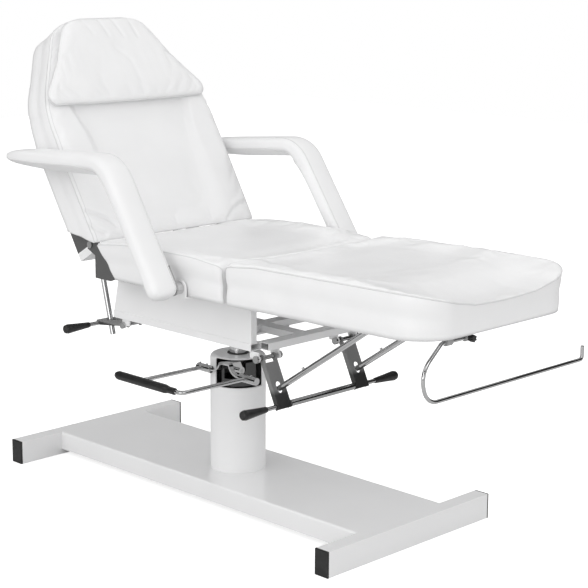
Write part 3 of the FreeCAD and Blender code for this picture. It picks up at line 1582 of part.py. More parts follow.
far_pad, near_pad = both_sides(armrest_pad())
far_core, near_core = both_sides(armrest_core())
export("armrest_pad_far", far_pad)
export("armrest_core_far", far_core)
export("armrest_pad_near", near_pad)
export("armrest_core_near", near_core)
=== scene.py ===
import bpy
import json
import math
import numpy as np
from mathutils import Matrix, Vector


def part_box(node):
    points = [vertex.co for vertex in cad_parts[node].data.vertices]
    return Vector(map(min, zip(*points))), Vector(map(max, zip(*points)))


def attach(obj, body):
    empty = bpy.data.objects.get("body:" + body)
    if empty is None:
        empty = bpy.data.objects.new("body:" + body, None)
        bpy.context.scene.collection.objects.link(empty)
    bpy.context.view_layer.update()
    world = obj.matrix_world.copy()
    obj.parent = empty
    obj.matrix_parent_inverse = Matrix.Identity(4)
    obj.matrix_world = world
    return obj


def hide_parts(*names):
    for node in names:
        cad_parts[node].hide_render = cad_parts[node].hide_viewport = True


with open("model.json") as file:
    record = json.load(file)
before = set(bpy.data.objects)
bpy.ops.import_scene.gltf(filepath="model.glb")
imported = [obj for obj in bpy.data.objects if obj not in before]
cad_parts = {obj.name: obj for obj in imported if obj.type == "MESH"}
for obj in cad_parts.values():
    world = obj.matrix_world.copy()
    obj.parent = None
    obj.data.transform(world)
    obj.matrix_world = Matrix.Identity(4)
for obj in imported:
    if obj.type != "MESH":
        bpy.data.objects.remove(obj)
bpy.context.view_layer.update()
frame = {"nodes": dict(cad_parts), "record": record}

scene = bpy.context.scene
NODES = frame["nodes"]

# Sizes of the chair are millimetres from the column's axis, turned into metres by place().
# Lamps, floor and the scales of the materials are in metres.
low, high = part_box("column_tube")
COLUMN_X = (low.x + high.x) / 2
MM = 0.001


def place(x, y, z):
    return Vector((COLUMN_X + x * MM, y * MM, z * MM))


def place_all(points):
    points = np.asarray(points, float) * MM
    points[:, 0] += COLUMN_X
    return points


# Node helpers, for the materials and the world

def add_node(tree, kind, values=None):
    """New node of a tree, with its unlinked inputs set by name or number."""
    node = tree.nodes.new("ShaderNode" + kind)
    for key, value in (values or {}).items():
        node.inputs[key].default_value = value
    return node


def colour_mix(tree, factor, first, second, blend="MIX"):
    """Colour output that goes from the first colour to the second; each input is a value or an output."""
    node = add_node(tree, "Mix")
    node.data_type = "RGBA"
    node.blend_type = blend
    for key, given in (("Factor", factor), ("A", first), ("B", second)):
        if isinstance(given, bpy.types.NodeSocket):
            tree.links.new(given, node.inputs[key])
        else:
            node.inputs[key].default_value = given
    return node.outputs["Result"]


def grey_ramp(tree, value, stops, interpolation="LINEAR"):
    """Grey that follows a value through stops of (position, tone)."""
    node = add_node(tree, "ValToRGB")
    ramp = node.color_ramp
    ramp.interpolation = interpolation
    while len(ramp.elements) < len(stops):
        ramp.elements.new(0.5)
    for element, (position, tone) in zip(ramp.elements, stops):
        element.position = position
        element.color = (tone, tone, tone, 1)
    tree.links.new(value, node.inputs["Fac"])
    return node.outputs["Color"]


def spread(tree, value, low_out, high_out, low_in=0.3, high_in=0.7):
    """Value carried over in proportion from one range to another."""
    node = add_node(tree, "MapRange", {"From Min": low_in, "From Max": high_in,
                                       "To Min": low_out, "To Max": high_out})
    tree.links.new(value, node.inputs["Value"])
    return node.outputs["Result"]


# Materials

COAT_ROUGHNESS = 0.12
GREY_BLUE_SHARE = 1.004


def material(name, colour, roughness, metallic=0.0, coat=0.0, sheen=0.0, specular=0.5):
    mat = bpy.data.materials.new(name)
    mat.use_nodes = True
    shader = principled(mat)
    shader.inputs["Base Color"].default_value = (*colour, 1)
    shader.inputs["Roughness"].default_value = roughness
    shader.inputs["Metallic"].default_value = metallic
    shader.inputs["Coat Weight"].default_value = coat
    shader.inputs["Coat Roughness"].default_value = COAT_ROUGHNESS
    shader.inputs["Sheen Weight"].default_value = sheen
    shader.inputs["Specular IOR Level"].default_value = specular
    return mat


def principled(mat):
    return mat.node_tree.nodes["Principled BSDF"]


def coords(mat):
    return add_node(mat.node_tree, "TexCoord").outputs["Object"]


def noise(mat, scale, detail=3.0, rough=0.5, stretch=None):
    """Noise over a piece, with about so many cells to the metre as its scale says."""
    tree = mat.node_tree
    tex = add_node(tree, "TexNoise", {"Scale": scale, "Detail": detail, "Roughness": rough})
    where = coords(mat)
    if stretch:
        mapping = add_node(tree, "Mapping", {"Scale": stretch})
        tree.links.new(where, mapping.inputs["Vector"])
        where = mapping.outputs["Vector"]
    tree.links.new(where, tex.inputs["Vector"])
    return tex.outputs["Fac"]


def cells(mat, scale):
    tex = add_node(mat.node_tree, "TexVoronoi", {"Scale": scale})
    mat.node_tree.links.new(coords(mat), tex.inputs["Vector"])
    return tex.outputs["Distance"]


def tint(mat, share, dark, light):
    """Colour that varies between two tones of the same paint or skin, by a share from 0 to 1."""
    colour = colour_mix(mat.node_tree, share, (*grey(dark), 1), (*grey(light), 1))
    mat.node_tree.links.new(colour, principled(mat).inputs["Base Color"])


def mottle(mat, value, dark, light):
    tint(mat, spread(mat.node_tree, value, 0, 1), dark, light)


def rough_from(mat, value, smooth, rough):
    mat.node_tree.links.new(spread(mat.node_tree, value, smooth, rough), principled(mat).inputs["Roughness"])


def bump(mat, heights):
    """Adds bumps one after another: each is (height output, distance in metres, strength)."""
    links = mat.node_tree.links
    last = None
    for height, distance, strength in heights:
        node = add_node(mat.node_tree, "Bump", {"Distance": distance, "Strength": strength})
        links.new(height, node.inputs["Height"])
        if last:
            links.new(last, node.inputs["Normal"])
        last = node.outputs["Normal"]
    links.new(last, principled(mat).inputs["Normal"])


def grey(tone):
    return (tone, tone, tone * GREY_BLUE_SHARE)


def vinyl(name, tone):
    """Coated cloth: broad tone changes, uneven gloss, a fine cell grain and slow waves."""
    mat = material(name, grey(tone), 0.42, sheen=0.04, specular=0.42)
    mottle(mat, noise(mat, 7, 4), tone * 0.975, tone * 1.01)
    rough_from(mat, noise(mat, 160, 3), 0.34, 0.47)
    bump(mat, [(cells(mat, 900), 0.0004, 0.16), (noise(mat, 1400, 2), 0.0002, 0.12),
               (noise(mat, 24, 3, 0.55), 0.004, 0.18)])
    return mat


def paint(name, tone, rough=0.3):
    mat = material(name, grey(tone), rough, coat=0.25)
    mottle(mat, noise(mat, 5, 3), tone * 0.985, tone * 1.01)
    rough_from(mat, noise(mat, 14, 2), rough * 0.92, rough * 1.08)
    return mat


def steel(name, tone, rough, stretch=(1, 1, 1)):
    mat = material(name, grey(tone), rough, metallic=1.0)
    rough_from(mat, noise(mat, 90, 4, 0.6, stretch), rough * 0.8, rough * 1.3)
    bump(mat, [(noise(mat, 700, 3, 0.6, stretch), 0.0002, 0.08)])
    return mat


def rubber(name, tone, rough=0.45):
    mat = material(name, grey(tone), rough)
    mottle(mat, noise(mat, 45, 3), tone * 0.8, tone * 1.3)
    rough_from(mat, noise(mat, 120, 3), rough * 0.85, rough * 1.15)
    bump(mat, [(noise(mat, 900, 3), 0.0003, 0.25)])
    return mat


def strap_paint_with_painted_shade(name, upper, lower, split_at, blur=0.05):
    """Paint in two tones, grey above and a near-black lower part that is painted shade, split at a share of
    the piece's height.
    """
    mat = paint(name, upper, 0.35)
    tree = mat.node_tree
    place_in_piece = add_node(tree, "SeparateXYZ")
    tree.links.new(add_node(tree, "TexCoord").outputs["Generated"], place_in_piece.inputs["Vector"])
    share = spread(tree, place_in_piece.outputs["Z"], 0.0, 1.0, split_at - blur, split_at + blur)
    # The darker tone toward the bottom of the piece is painted shade, not a colour of the paint
    tint(mat, share, lower, upper)
    return mat


MATS = {
    "white_vinyl": vinyl("white vinyl", 0.83),
    "seam_vinyl": vinyl("seam welt", 0.70),
    "white_paint": paint("white powder coat", 0.83),
    "bar_paint": steel("plated handle bar", 0.50, 0.12),
    # The straps' near-black lower part is painted shade; the grey above is their paint
    "strap_paint": strap_paint_with_painted_shade("grey strap paint", 0.20, 0.03, 0.34),
    "grey_plate": paint("grey plate", 0.085, 0.4),
    "bracket_paint": paint("grey bracket paint", 0.36, 0.4),
    "black_plastic": rubber("black cap plastic", 0.018, 0.5),
    "black_rubber": rubber("black grip rubber", 0.016, 0.38),
    "knob_plastic": rubber("black knob", 0.02, 0.35),
    "seal_rubber": rubber("black seal", 0.02, 0.5),
    "chrome": steel("chrome", 0.62, 0.05),
    "bright_steel": steel("bright steel", 0.46, 0.15),
    "pump_steel": steel("dark pump steel", 0.10, 0.14, (1, 1, 0.05)),
}
# Each part listed in the record takes its slot's material; the seams, built further on, show a little darker
# than the covers
for node_name, slot_name in ((s["node"], s["material_slot"]) for s in frame["record"]["subparts"]):
    mesh = NODES[node_name].data
    mesh.materials.clear()
    mesh.materials.append(MATS[slot_name])


# Mesh builders

TUBE_SIDES = 8


def new_piece(name, verts, faces, body, slot):
    mesh = bpy.data.meshes.new(name)
    mesh.from_pydata([tuple(v) for v in verts], [], faces)
    mesh.validate()
    mesh.update()
    obj = bpy.data.objects.new(name, mesh)
    scene.collection.objects.link(obj)
    mesh.materials.append(MATS[slot])
    mesh.shade_smooth()
    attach(obj, body)
    return obj


def tube_along(name, points, radius, body, slot):
    """Round tube swept along an open line of metre points, with parallel frames and closed ends."""
    pts = np.asarray(points, float)
    count, sides = len(pts), TUBE_SIDES
    tangents = np.gradient(pts, axis=0)
    tangents /= np.linalg.norm(tangents, axis=1)[:, None] + 1e-12
    normal = np.cross(tangents[0], (0.3, 0.2, 0.9))
    normal /= np.linalg.norm(normal)
    verts, faces = [], []
    for i in range(count):
        normal = normal - tangents[i] * normal.dot(tangents[i])
        normal /= np.linalg.norm(normal)
        binormal = np.cross(tangents[i], normal)
        for k in range(sides):
            turn = 2 * math.pi * k / sides
            verts.append(pts[i] + (normal * math.cos(turn) + binormal * math.sin(turn)) * radius)
    for i in range(count - 1):
        for k in range(sides):
            beside = (k + 1) % sides
            faces.append((i * sides + k, i * sides + beside, (i + 1) * sides + beside, (i + 1) * sides + k))
    faces.append(tuple(range(sides - 1, -1, -1)))
    faces.append(tuple((count - 1) * sides + k for k in range(sides)))
    return new_piece(name, verts, faces, body, slot)


WAVES, SLOWEST, FASTEST, WAVE_SCALE = 14, 0.55, 1.6, 5.0


def value_noise(points, scale, seed):
    """Smooth repeatable noise at metre points, mostly between -1 and 1."""
    rng = np.random.default_rng(seed)
    waves = rng.normal(size=(WAVES, 3))
    waves /= np.linalg.norm(waves, axis=1)[:, None]
    rates = rng.uniform(SLOWEST, FASTEST, WAVES) * 2 * math.pi / scale
    phases = rng.uniform(0, 2 * math.pi, WAVES)
    total = np.zeros(len(points))
    for wave, rate, phase in zip(waves, rates, phases):
        total += np.sin(points @ wave * rate + phase)
    return total / WAVE_SCALE


def smoothstep(x):
    x = np.clip(x, 0, 1)
    return x * x * (3 - 2 * x)


def grow(x, start, over):
    """Share that goes smoothly from 0 at a start to 1 a distance further on."""
    return smoothstep((x - start) / over)


def fade(x, end, over):
    """Share that goes smoothly from 1 to 0, which it reaches at an end."""
    return smoothstep((end - x) / over)


SHIFTS, END_RATE = (-0.02, -0.01, 0, 0.01, 0.02), 12


def smooth_table(x, table):
    """Smooth curve through a table, by averaging the straight lines around each place.

    The shifts shrink toward 1, so that the last value is kept."""
    total = np.zeros_like(x)
    for shift in SHIFTS:
        near_end = np.minimum(1, (1 - x) * END_RATE)
        total += np.interp(np.clip(x + shift * near_end, 0, 1), table[:, 0], table[:, 1])
    return total / len(SHIFTS)


# Covers: shapes shared by all the pads

WALL_BULGE, WALL_PINCH, PINCH_POWER, END_BULGE = 3.0, 5.0, 8, 2.0
ROLL_WIDTH, HOLLOW, SLOPE_REACH, BOARD_DEPTH = 28.0, 15.0, 130.0, 17.0
# Seat and legrest stand back from where they meet, and further at their upper edges
MEETING_GAP, MEETING_LEAN = 4.0, 3.0
# The walls' ripple is read only a few millimetres apart across, so both sides ripple nearly alike
RIPPLE_ACROSS = 3


def arc(distance, radius):
    """Height share of a quarter round: 0 at the edge, 1 from one radius inward."""
    t = np.clip(distance / radius, 0, 1)
    return np.sqrt(np.maximum(0, 1 - (1 - t) ** 2))


def drop(distance, depth, radius):
    """Depth below the level at an edge, gone in a quarter round one radius inward."""
    return depth * (1 - arc(distance, radius))


def wall_bulge(w):
    """How far a wall swells at a share of its height, with a pinch at half height."""
    return WALL_BULGE * np.sin(np.pi * w) - WALL_PINCH * np.sin(np.pi * w) ** PINCH_POWER


def end_bulge(v, w):
    """The same for the two ends, where v is 0 and 1."""
    return END_BULGE * np.sin(np.pi * w) * (1 - 2 * v)


def creases(across, along, lines):
    """Depth of soft folds in a skin: each line is (depth, width, places) with places as (across, along)."""
    total = np.zeros_like(across)
    for depth, width, places in lines:
        places = np.asarray(places, float)
        nearest = np.full_like(across, 1e6)
        for start, end in zip(places, places[1:]):
            run = end - start
            share = ((across - start[0]) * run[0] + (along - start[1]) * run[1]) / (run @ run)
            share = np.clip(share, 0, 1)
            gap = np.hypot(across - start[0] - run[0] * share, along - start[1] - run[1] * share)
            nearest = np.minimum(nearest, gap)
        total += depth * np.exp(-(nearest / width) ** 2)
    return total


def ripple(across, along, size, seed):
    """Gentle repeatable unevenness over a skin, mostly between -1 and 1."""
    return value_noise(np.stack([across, along, np.zeros_like(across)], 1) * MM, size * MM, seed)


CROWDING = 0.45


def crowd(x):
    """Moves places on -1..1 toward the ends, so that cells are smaller there."""
    return (1 - CROWDING) * x + CROWDING * np.sin(x * math.pi / 2)


RECESS_FLARE = 1.25


class Pad:
    """Upholstered pad: a grid for its top, walls below its seam and rings for its underside.

    surface(u, v, w) maps across -1..1, along 0..1 and up 0..1 to millimetres from the column's axis.
    The board sits in a recess of the underside, inset from the walls by (across, along)."""

    def __init__(self, across, along, up, surface, inset=None, depth=0.0):
        self.nu, self.nv, self.nw = across, along, up
        grid, faces, self.index = [], [], {}

        def vertex(i, j, k):
            if (i, j, k) not in self.index:
                self.index[(i, j, k)] = len(grid)
                grid.append((i, j, k))
            return self.index[(i, j, k)]

        for i in range(across):
            for j in range(along):
                corners = ((i, j), (i + 1, j), (i + 1, j + 1), (i, j + 1))
                faces.append([vertex(a, b, up) for a, b in corners])
        rings = [[vertex(i, j, k) for i, j in self.loop()] for k in range(up + 1)]
        spots = np.array(grid, float)
        u = crowd(spots[:, 0] / across * 2 - 1)
        v = (crowd(spots[:, 1] / along * 2 - 1) + 1) / 2
        points = surface(u, v, spots[:, 2] / up)
        if inset:
            for ring in self.recess(points[rings[0]], inset, depth):
                rings.insert(0, list(range(len(points), len(points) + len(ring))))
                points = np.vstack([points, ring])
        for below, above in zip(rings, rings[1:]):
            for a in range(len(below)):
                b = (a + 1) % len(below)
                faces.append([below[a], below[b], above[b], above[a]])
        faces.append(rings[0][::-1])
        self.points, self.faces = points, faces

    def recess(self, base, inset, depth):
        """The recess's mouth and its floor, as rings inside the underside's outline."""
        centre = (base.max(0) + base.min(0)) / 2
        run = base[self.nu + self.nv // 2 + self.nv // 2] - base[0]
        run[1] = 0
        run /= np.linalg.norm(run)
        rise = np.cross(run, (0, 1, 0))
        away = base - centre
        rings = []
        for amount, lift in ((1.0, 0.0), (RECESS_FLARE, depth)):
            along_run, across_run = away @ run, away[:, 1]
            along_run = along_run * (1 - inset[1] * amount / np.abs(along_run).max())
            across_run = across_run * (1 - inset[0] * amount / np.abs(across_run).max())
            ring = centre + np.outer(along_run, run) + np.outer(across_run, (0, 1, 0)) + rise * lift
            rings.append(ring + np.outer(away @ rise, rise))
        return rings

    def loop(self):
        """Grid places round the rim, from the first corner along the first end."""
        first_end = [(i, 0) for i in range(self.nu)]
        far_side = [(self.nu, j) for j in range(self.nv)]
        last_end = [(i, self.nv) for i in range(self.nu, 0, -1)]
        near_side = [(0, j) for j in range(self.nv, 0, -1)]
        return first_end + far_side + last_end + near_side

    def rim(self):
        """Vertex numbers round the pad's seam."""
        return [self.index[(i, j, self.nw)] for i, j in self.loop()]

    def piece(self, name, body):
        return new_piece(name, place_all(self.points), self.faces, body, "white_vinyl")


SKIN_FRAMES = 10
SKIN_SLACK = 0.012
RIM_HOLD, HOLD_STEP = 0.9, 0.3


def puff(piece, pad, pressure, most):
    """Fills the top of a cover with a short cloth run; its walls and rim stay put and no point moves far."""
    mesh = piece.data
    start = np.array([v.co for v in mesh.vertices], float)
    held = np.ones(len(start))
    for (i, j, k), number in pad.index.items():
        inward = min(i, pad.nu - i, j, pad.nv - j)
        held[number] = 1.0 if inward == 0 else max(0.0, RIM_HOLD - HOLD_STEP * inward)
    group = piece.vertex_groups.new(name="held")
    for number, weight in enumerate(held):
        group.add([number], weight, "REPLACE")
    cloth = piece.modifiers.new("skin", "CLOTH")
    settings = cloth.settings
    settings.quality = 5
    settings.mass = 0.3
    settings.tension_stiffness = 25
    settings.compression_stiffness = 12
    settings.shear_stiffness = 8
    settings.bending_stiffness = 0.8
    settings.vertex_group_mass = "held"
    settings.pin_stiffness = 1.0
    settings.shrink_min = -SKIN_SLACK
    settings.use_pressure = True
    settings.uniform_pressure_force = pressure
    settings.effector_weights.gravity = 0
    for frame_number in range(1, SKIN_FRAMES + 1):
        scene.frame_set(frame_number)
    swollen = piece.evaluated_get(bpy.context.evaluated_depsgraph_get()).to_mesh()
    moved = np.array([v.co for v in swollen.vertices], float) - start
    piece.evaluated_get(bpy.context.evaluated_depsgraph_get()).to_mesh_clear()
    piece.modifiers.remove(cloth)
    piece.vertex_groups.clear()
    length = np.linalg.norm(moved, axis=1)
    limit = most * MM
    moved *= (limit * np.tanh(length / limit) / np.maximum(length, 1e-9))[:, None]
    mesh.vertices.foreach_set("co", (start + moved).ravel())
    mesh.update()
    scene.frame_set(1)


def fine(points, steps):
    """Corner-cut copy of an open line, for a smooth seam."""
    for _ in range(steps):
        inner = np.empty((2 * len(points) - 2, 3))
        inner[0::2] = points[:-1] * 0.75 + points[1:] * 0.25
        inner[1::2] = points[:-1] * 0.25 + points[1:] * 0.75
        points = np.vstack([points[:1], inner, points[-1:]])
    return points


def seam(name, piece, numbers, radius, body, lift):
    """Welt or thread along a line of a cover's vertices, raised by a distance along its normals."""
    line = np.array([piece.data.vertices[n].co for n in numbers])
    normals = np.array([piece.data.vertices[n].normal for n in numbers])
    return tube_along(name, fine(line + normals * lift * MM, 2), radius * MM, body, "seam_vinyl")


# Seat

SEAT_BOTTOM, SEAT_HALF, SEAT_FOOT_X = 632.0, 300.0, 253.0
SEAT_LOW_X, SEAT_TOP_X, SEAT_HEIGHT, SEAT_SEAM = -192.0, -290.0, 116.0, 110.0
SEAT_HEAD_FALL = np.array([[0, 1], [0.04, 0.84], [0.14, 0.56], [0.26, 0.27], [0.50, 0.05], [0.88, 0], [1, 0]])
SEAT_FALL, SEAT_FOOT_DROP, SEAT_FOOT_SLOPE, SEAT_HEAD_DROP = 22.0, 10.0, 9.0, 5.0
SEAT_ROLL, SEAT_DRAFT, SEAT_UNEVEN = 7.0, 6.0, 1.2


def seat_surface(u, v, w):
    length = SEAT_FOOT_X - SEAT_TOP_X
    side = (1 - np.abs(u)) * SEAT_HALF
    head, foot = v * length, (1 - v) * length
    wall = SEAT_SEAM - SEAT_FALL * smooth_table(v, SEAT_HEAD_FALL)
    wall = wall - drop(foot, SEAT_FOOT_DROP, radius=22.0)
    wall = wall - SEAT_FOOT_SLOPE * (1 - grow(foot, start=0.0, over=SLOPE_REACH))
    wall = wall - drop(head, SEAT_HEAD_DROP, radius=18.0)
    roll = SEAT_ROLL * arc(side, ROLL_WIDTH) * arc(np.minimum(head, foot), ROLL_WIDTH)
    hollow = HOLLOW * (1 - u ** 2) * grow(side, start=12.0, over=90.0)
    hollow = hollow * grow(head, start=45.0, over=110.0)
    hollow = hollow * grow(foot, start=-30.0, over=120.0)
    up = np.where(w >= 1, wall + roll - hollow, w * wall)
    share = up / SEAT_HEIGHT
    half = SEAT_HALF - SEAT_DRAFT * (1 - share) + wall_bulge(w)
    half = half - drop(head, depth=5.0, radius=20.0) - drop(foot, depth=9.0, radius=26.0)
    waves = ripple(u * RIPPLE_ACROSS, v * length, size=120.0, seed=3)
    half = half + SEAT_UNEVEN * waves * np.sin(np.pi * w)
    head_x = SEAT_LOW_X + (SEAT_TOP_X - SEAT_LOW_X) * share
    foot_x = SEAT_FOOT_X - MEETING_GAP - MEETING_LEAN * share ** 3
    x = head_x + (foot_x - head_x) * v + end_bulge(v, w)
    return np.stack([x, u * half, SEAT_BOTTOM + up], 1)


seat = Pad(96, 84, 9, seat_surface, inset=(4, 8), depth=BOARD_DEPTH)
seat_piece = seat.piece("seat_cover", "lift")
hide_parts("seat_cushion")


# Legrest

LEG_HEAD_X, LEG_LOW_END, LEG_TOP_END, LEG_CORNER, LEG_NARROWING = 260.0, 946.0, 954.0, 115.0, 109.0
LEG_HEIGHT, LEG_SEAM, LEG_STRAIGHT = 125.0, 113.0, 0.80
LEG_RISE = math.radians(1.0)
LEG_END_FALL = np.array([[0, 45], [60, 44], [120, 41], [188, 28], [217, 21], [244, 14], [267, 8], [290, 2],
                         [300, 0]])
LEG_HEAD_DROP, LEG_HEAD_SLOPE, LEG_ROLL, LEG_ROLL_LOSS, LEG_DRAFT = 13.0, 9.0, 10.0, 3.0, 4.0
LEG_TOP_UNEVEN, LEG_WALL_UNEVEN = 1.1, 1.6


def lift_legrest(points):
    """Turns the legrest's points up about its hinge side by its small rise."""
    turned = np.array(points, float)
    x, z = turned[:, 0] - LEG_HEAD_X, turned[:, 2] - SEAT_BOTTOM
    turned[:, 0] = LEG_HEAD_X + x * math.cos(LEG_RISE) - z * math.sin(LEG_RISE)
    turned[:, 2] = SEAT_BOTTOM + x * math.sin(LEG_RISE) + z * math.cos(LEG_RISE)
    return turned


def legrest_surface(u, v, w):
    straight = np.clip(v / LEG_STRAIGHT, 0, 1)
    turn = np.clip((v - LEG_STRAIGHT) / (1 - LEG_STRAIGHT), 0, 1) * math.pi / 2
    low_x = LEG_HEAD_X + straight * (LEG_LOW_END - LEG_CORNER - LEG_HEAD_X) + LEG_CORNER * np.sin(turn)
    top_x = LEG_HEAD_X + straight * (LEG_TOP_END - LEG_CORNER - LEG_HEAD_X) + LEG_CORNER * np.sin(turn)
    half = SEAT_HALF - LEG_NARROWING * (1 - np.cos(turn))
    across = np.abs(u) * half
    head, foot = top_x - LEG_HEAD_X, LEG_TOP_END - top_x
    edge = np.minimum(half - across, foot)
    fall = np.interp(across, LEG_END_FALL[:, 0], LEG_END_FALL[:, 1]) * grow(top_x, start=690.0, over=225.0)
    wall = LEG_SEAM - fall - drop(head, LEG_HEAD_DROP, radius=28.0)
    wall = wall - LEG_HEAD_SLOPE * (1 - grow(head, start=0.0, over=SLOPE_REACH))
    roll = LEG_ROLL - LEG_ROLL_LOSS * grow(top_x, start=780.0, over=160.0)
    roll = roll * arc(edge, ROLL_WIDTH) * arc(head, ROLL_WIDTH)
    hollow = HOLLOW * (1 - (across / SEAT_HALF) ** 2) * grow(edge, start=14.0, over=90.0)
    hollow = hollow * grow(head, start=-30.0, over=120.0)
    hollow = hollow * (1 - 0.5 * grow(top_x, start=800.0, over=120.0))
    uneven = LEG_TOP_UNEVEN * ripple(u * half, top_x, size=150.0, seed=7) * arc(edge, radius=40.0)
    up = np.where(w >= 1, wall + roll - hollow + uneven, w * wall)
    share = up / LEG_HEIGHT
    half_here = half - LEG_DRAFT * (1 - share) + wall_bulge(w) - drop(head, depth=9.0, radius=26.0)
    waves = ripple(u * RIPPLE_ACROSS, top_x, size=110.0, seed=5)
    half_here = half_here + LEG_WALL_UNEVEN * waves * np.sin(np.pi * w)
    x = low_x + (top_x - low_x) * share + end_bulge(v, w)
    x = x + (MEETING_GAP + MEETING_LEAN * share ** 3) * (1 - v)
    return lift_legrest(np.stack([x, u * half_here, SEAT_BOTTOM + up], 1))


legrest = Pad(96, 116, 9, legrest_surface, inset=(19, 9), depth=BOARD_DEPTH)
legrest_piece = legrest.piece("legrest_cover", "legrest")
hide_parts("legrest_cushion")


# Backrest. Up along its leaning front, out square to it.

LEAN = math.radians(31.5)
BACK_AT = (-240.0, 720.0)
BACK_HALF, BACK_THICK, BACK_SEAM, BACK_FRONT, BACK_REAR, BACK_TOP = 308.0, 104.0, 92.0, 6.0, 96.0, 710.0
BACK_FOOT_DROP, BACK_FOOT_ROUND, BACK_ROLL, BACK_HOLLOW, BACK_CROWN = 3.0, 24.0, 12.0, 17.0, 3.0
BACK_FOLD, BACK_FOLD_GROWTH, BACK_STEP_POWER = 24.0, 50.0, 1.3
BACK_WIDTHS = np.array([[0, 0.990], [0.105, 0.995], [0.300, 1.0], [0.530, 1.0], [0.600, 0.982],
                        [0.665, 0.936], [0.720, 0.875], [0.780, 0.803], [0.850, 0.715], [0.920, 0.635],
                        [0.960, 0.562], [0.985, 0.455], [1.0, 0.350]])
# Places up the front and, for each, how much wider the back is there than the front
BACK_SPREAD = ((0, 300, 410, 540, 610, 660), (5, 4, -7, -7, -1, 1))
# Places up the front and, for each, how wide the bolster beside the sitter's back is
BACK_BOLSTER = ((0, 300, 360, 395, 430), (135, 118, 112, 101, 86))
BACK_CREASES = [(5.0, 7.0, [(-222, 436), (-206, 392), (-199, 362)]),
                (5.0, 7.0, [(222, 436), (206, 392), (199, 362)]),
                (6.5, 7.0, [(-301, 104), (-280, 95), (-257, 83), (-238, 68), (-224, 51)]),
                (6.0, 6.5, [(-305, 62), (-289, 45), (-268, 33)]),
                (-2.5, 9.0, [(-290, 78), (-262, 58)]),
                (6.0, 7.0, [(296, 70), (262, 64), (226, 46), (200, 26)]),
                (-2.5, 9.0, [(284, 88), (240, 74)]),
                (-1.5, 14.0, [(-262, 108), (-228, 84)])]


def back_point(across, up, out):
    x = BACK_AT[0] - up * math.sin(LEAN) + out * math.cos(LEAN)
    z = BACK_AT[1] + up * math.cos(LEAN) + out * math.sin(LEAN)
    return np.stack([x, across, z], 1)


def back_surface(u, v, w):
    along = 1 - (1 - v) ** BACK_STEP_POWER
    full = BACK_HALF * smooth_table(along, BACK_WIDTHS)
    front = BACK_FRONT + (BACK_TOP - BACK_FRONT) * along
    rear = BACK_REAR + (BACK_TOP - BACK_REAR) * along
    side = (1 - np.abs(u)) * full
    head, foot = BACK_TOP - front, front - BACK_FRONT
    below_pillow = fade(front, end=470.0, over=60.0)
    wall = BACK_SEAM - drop(foot, BACK_FOOT_DROP, BACK_FOOT_ROUND)
    bolster = np.interp(front, *BACK_BOLSTER)
    roll = BACK_ROLL * arc(side, radius=36.0) * arc(np.minimum(head, foot), radius=34.0)
    fold = BACK_FOLD + BACK_FOLD_GROWTH * fade(front, end=400.0, over=300.0)
    inner = smoothstep((side - bolster + fold / 2) / fold) * below_pillow
    inner = inner * grow(foot, start=-20.0, over=90.0)
    folds = creases(u * full, front, BACK_CREASES) * arc(side, radius=20.0)
    top = wall + roll - BACK_HOLLOW * inner + BACK_CROWN * inner * np.cos(u * math.pi / 2) - folds
    out = np.where(w >= 1, top, w * wall)
    share = out / BACK_THICK
    half = full + np.interp(front, *BACK_SPREAD) * (1 - share) + wall_bulge(w)
    up = rear + (front - rear) * share + end_bulge(v, w)
    return back_point(u * half, up, out - BACK_THICK)


back = Pad(100, 110, 9, back_surface, inset=(24, 9), depth=BOARD_DEPTH)
back_piece = back.piece("backrest_cover", "backrest")
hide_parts("backrest_cushion")


# Head pillow

PILLOW_HALF, PILLOW_START, PILLOW_LENGTH, PILLOW_THICK, PILLOW_SEAM = 296.0, 435.0, 270.0, 27.0, 15.0
PILLOW_GAP, PILLOW_CROWN, PILLOW_OFFSET = 1.2, 2.0, 5.0
PILLOW_TUCK, PILLOW_END_TUCK, PILLOW_SAG = 9.0, 7.0, 4.0
PILLOW_WIDTHS = np.array([[0, 0.930], [0.04, 0.980], [0.10, 0.995], [0.16, 0.975], [0.31, 0.865],
                          [0.52, 0.725], [0.69, 0.640], [0.84, 0.560], [0.91, 0.510], [0.96, 0.430],
                          [0.985, 0.36], [1.0, 0.270]])
PILLOW_CREASES = [(3.0, 7.0, [(-24, 698), (-8, 642)]),
                  (3.0, 7.0, [(28, 696), (46, 640)]),
                  (2.5, 7.0, [(90, 690), (100, 636)]),
                  (2.0, 8.0, [(-84, 690), (-62, 650)]),
                  (2.0, 9.0, [(0, 600), (40, 560)])]


def pillow_surface(u, v, w):
    full = PILLOW_HALF * smooth_table(v, PILLOW_WIDTHS)
    up = PILLOW_START + PILLOW_LENGTH * v
    side = (1 - np.abs(u)) * full
    end = np.minimum(v, 1 - v) * PILLOW_LENGTH
    roll = (PILLOW_THICK - PILLOW_SEAM) * arc(side, radius=26.0) * arc(end, radius=24.0)
    top = PILLOW_SEAM + roll + PILLOW_CROWN * arc(side, radius=150.0) * arc(end, radius=110.0)
    out = np.where(w >= 1, top, PILLOW_GAP + w * (PILLOW_SEAM - PILLOW_GAP))
    out = out - creases(u * full, up, PILLOW_CREASES) * (w >= 1) * arc(end, radius=20.0)
    half = full - PILLOW_TUCK * (1 - w)
    up = up + PILLOW_END_TUCK * (1 - w) * (1 - 2 * v) - PILLOW_SAG * (1 - u ** 2) * (1 - v)
    return back_point(u * half - PILLOW_OFFSET, up, out)


pillow = Pad(84, 48, 4, pillow_surface)
pillow_piece = pillow.piece("head_pillow_cover", "backrest")
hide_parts("head_pillow")


# Armrests: a padded bar swept from its foot over the knee to the tip

ARM_Y, ARM_WIDTH, ARM_THICK = 371.5, 88.0, 52.0
ARM_FOOT, ARM_KNEE, ARM_TIP, ARM_BEND, ARM_BELOW = (99.0, 655.0), (-104.0, 969.0), (-566.0, 943.0), 95.0, 24.0
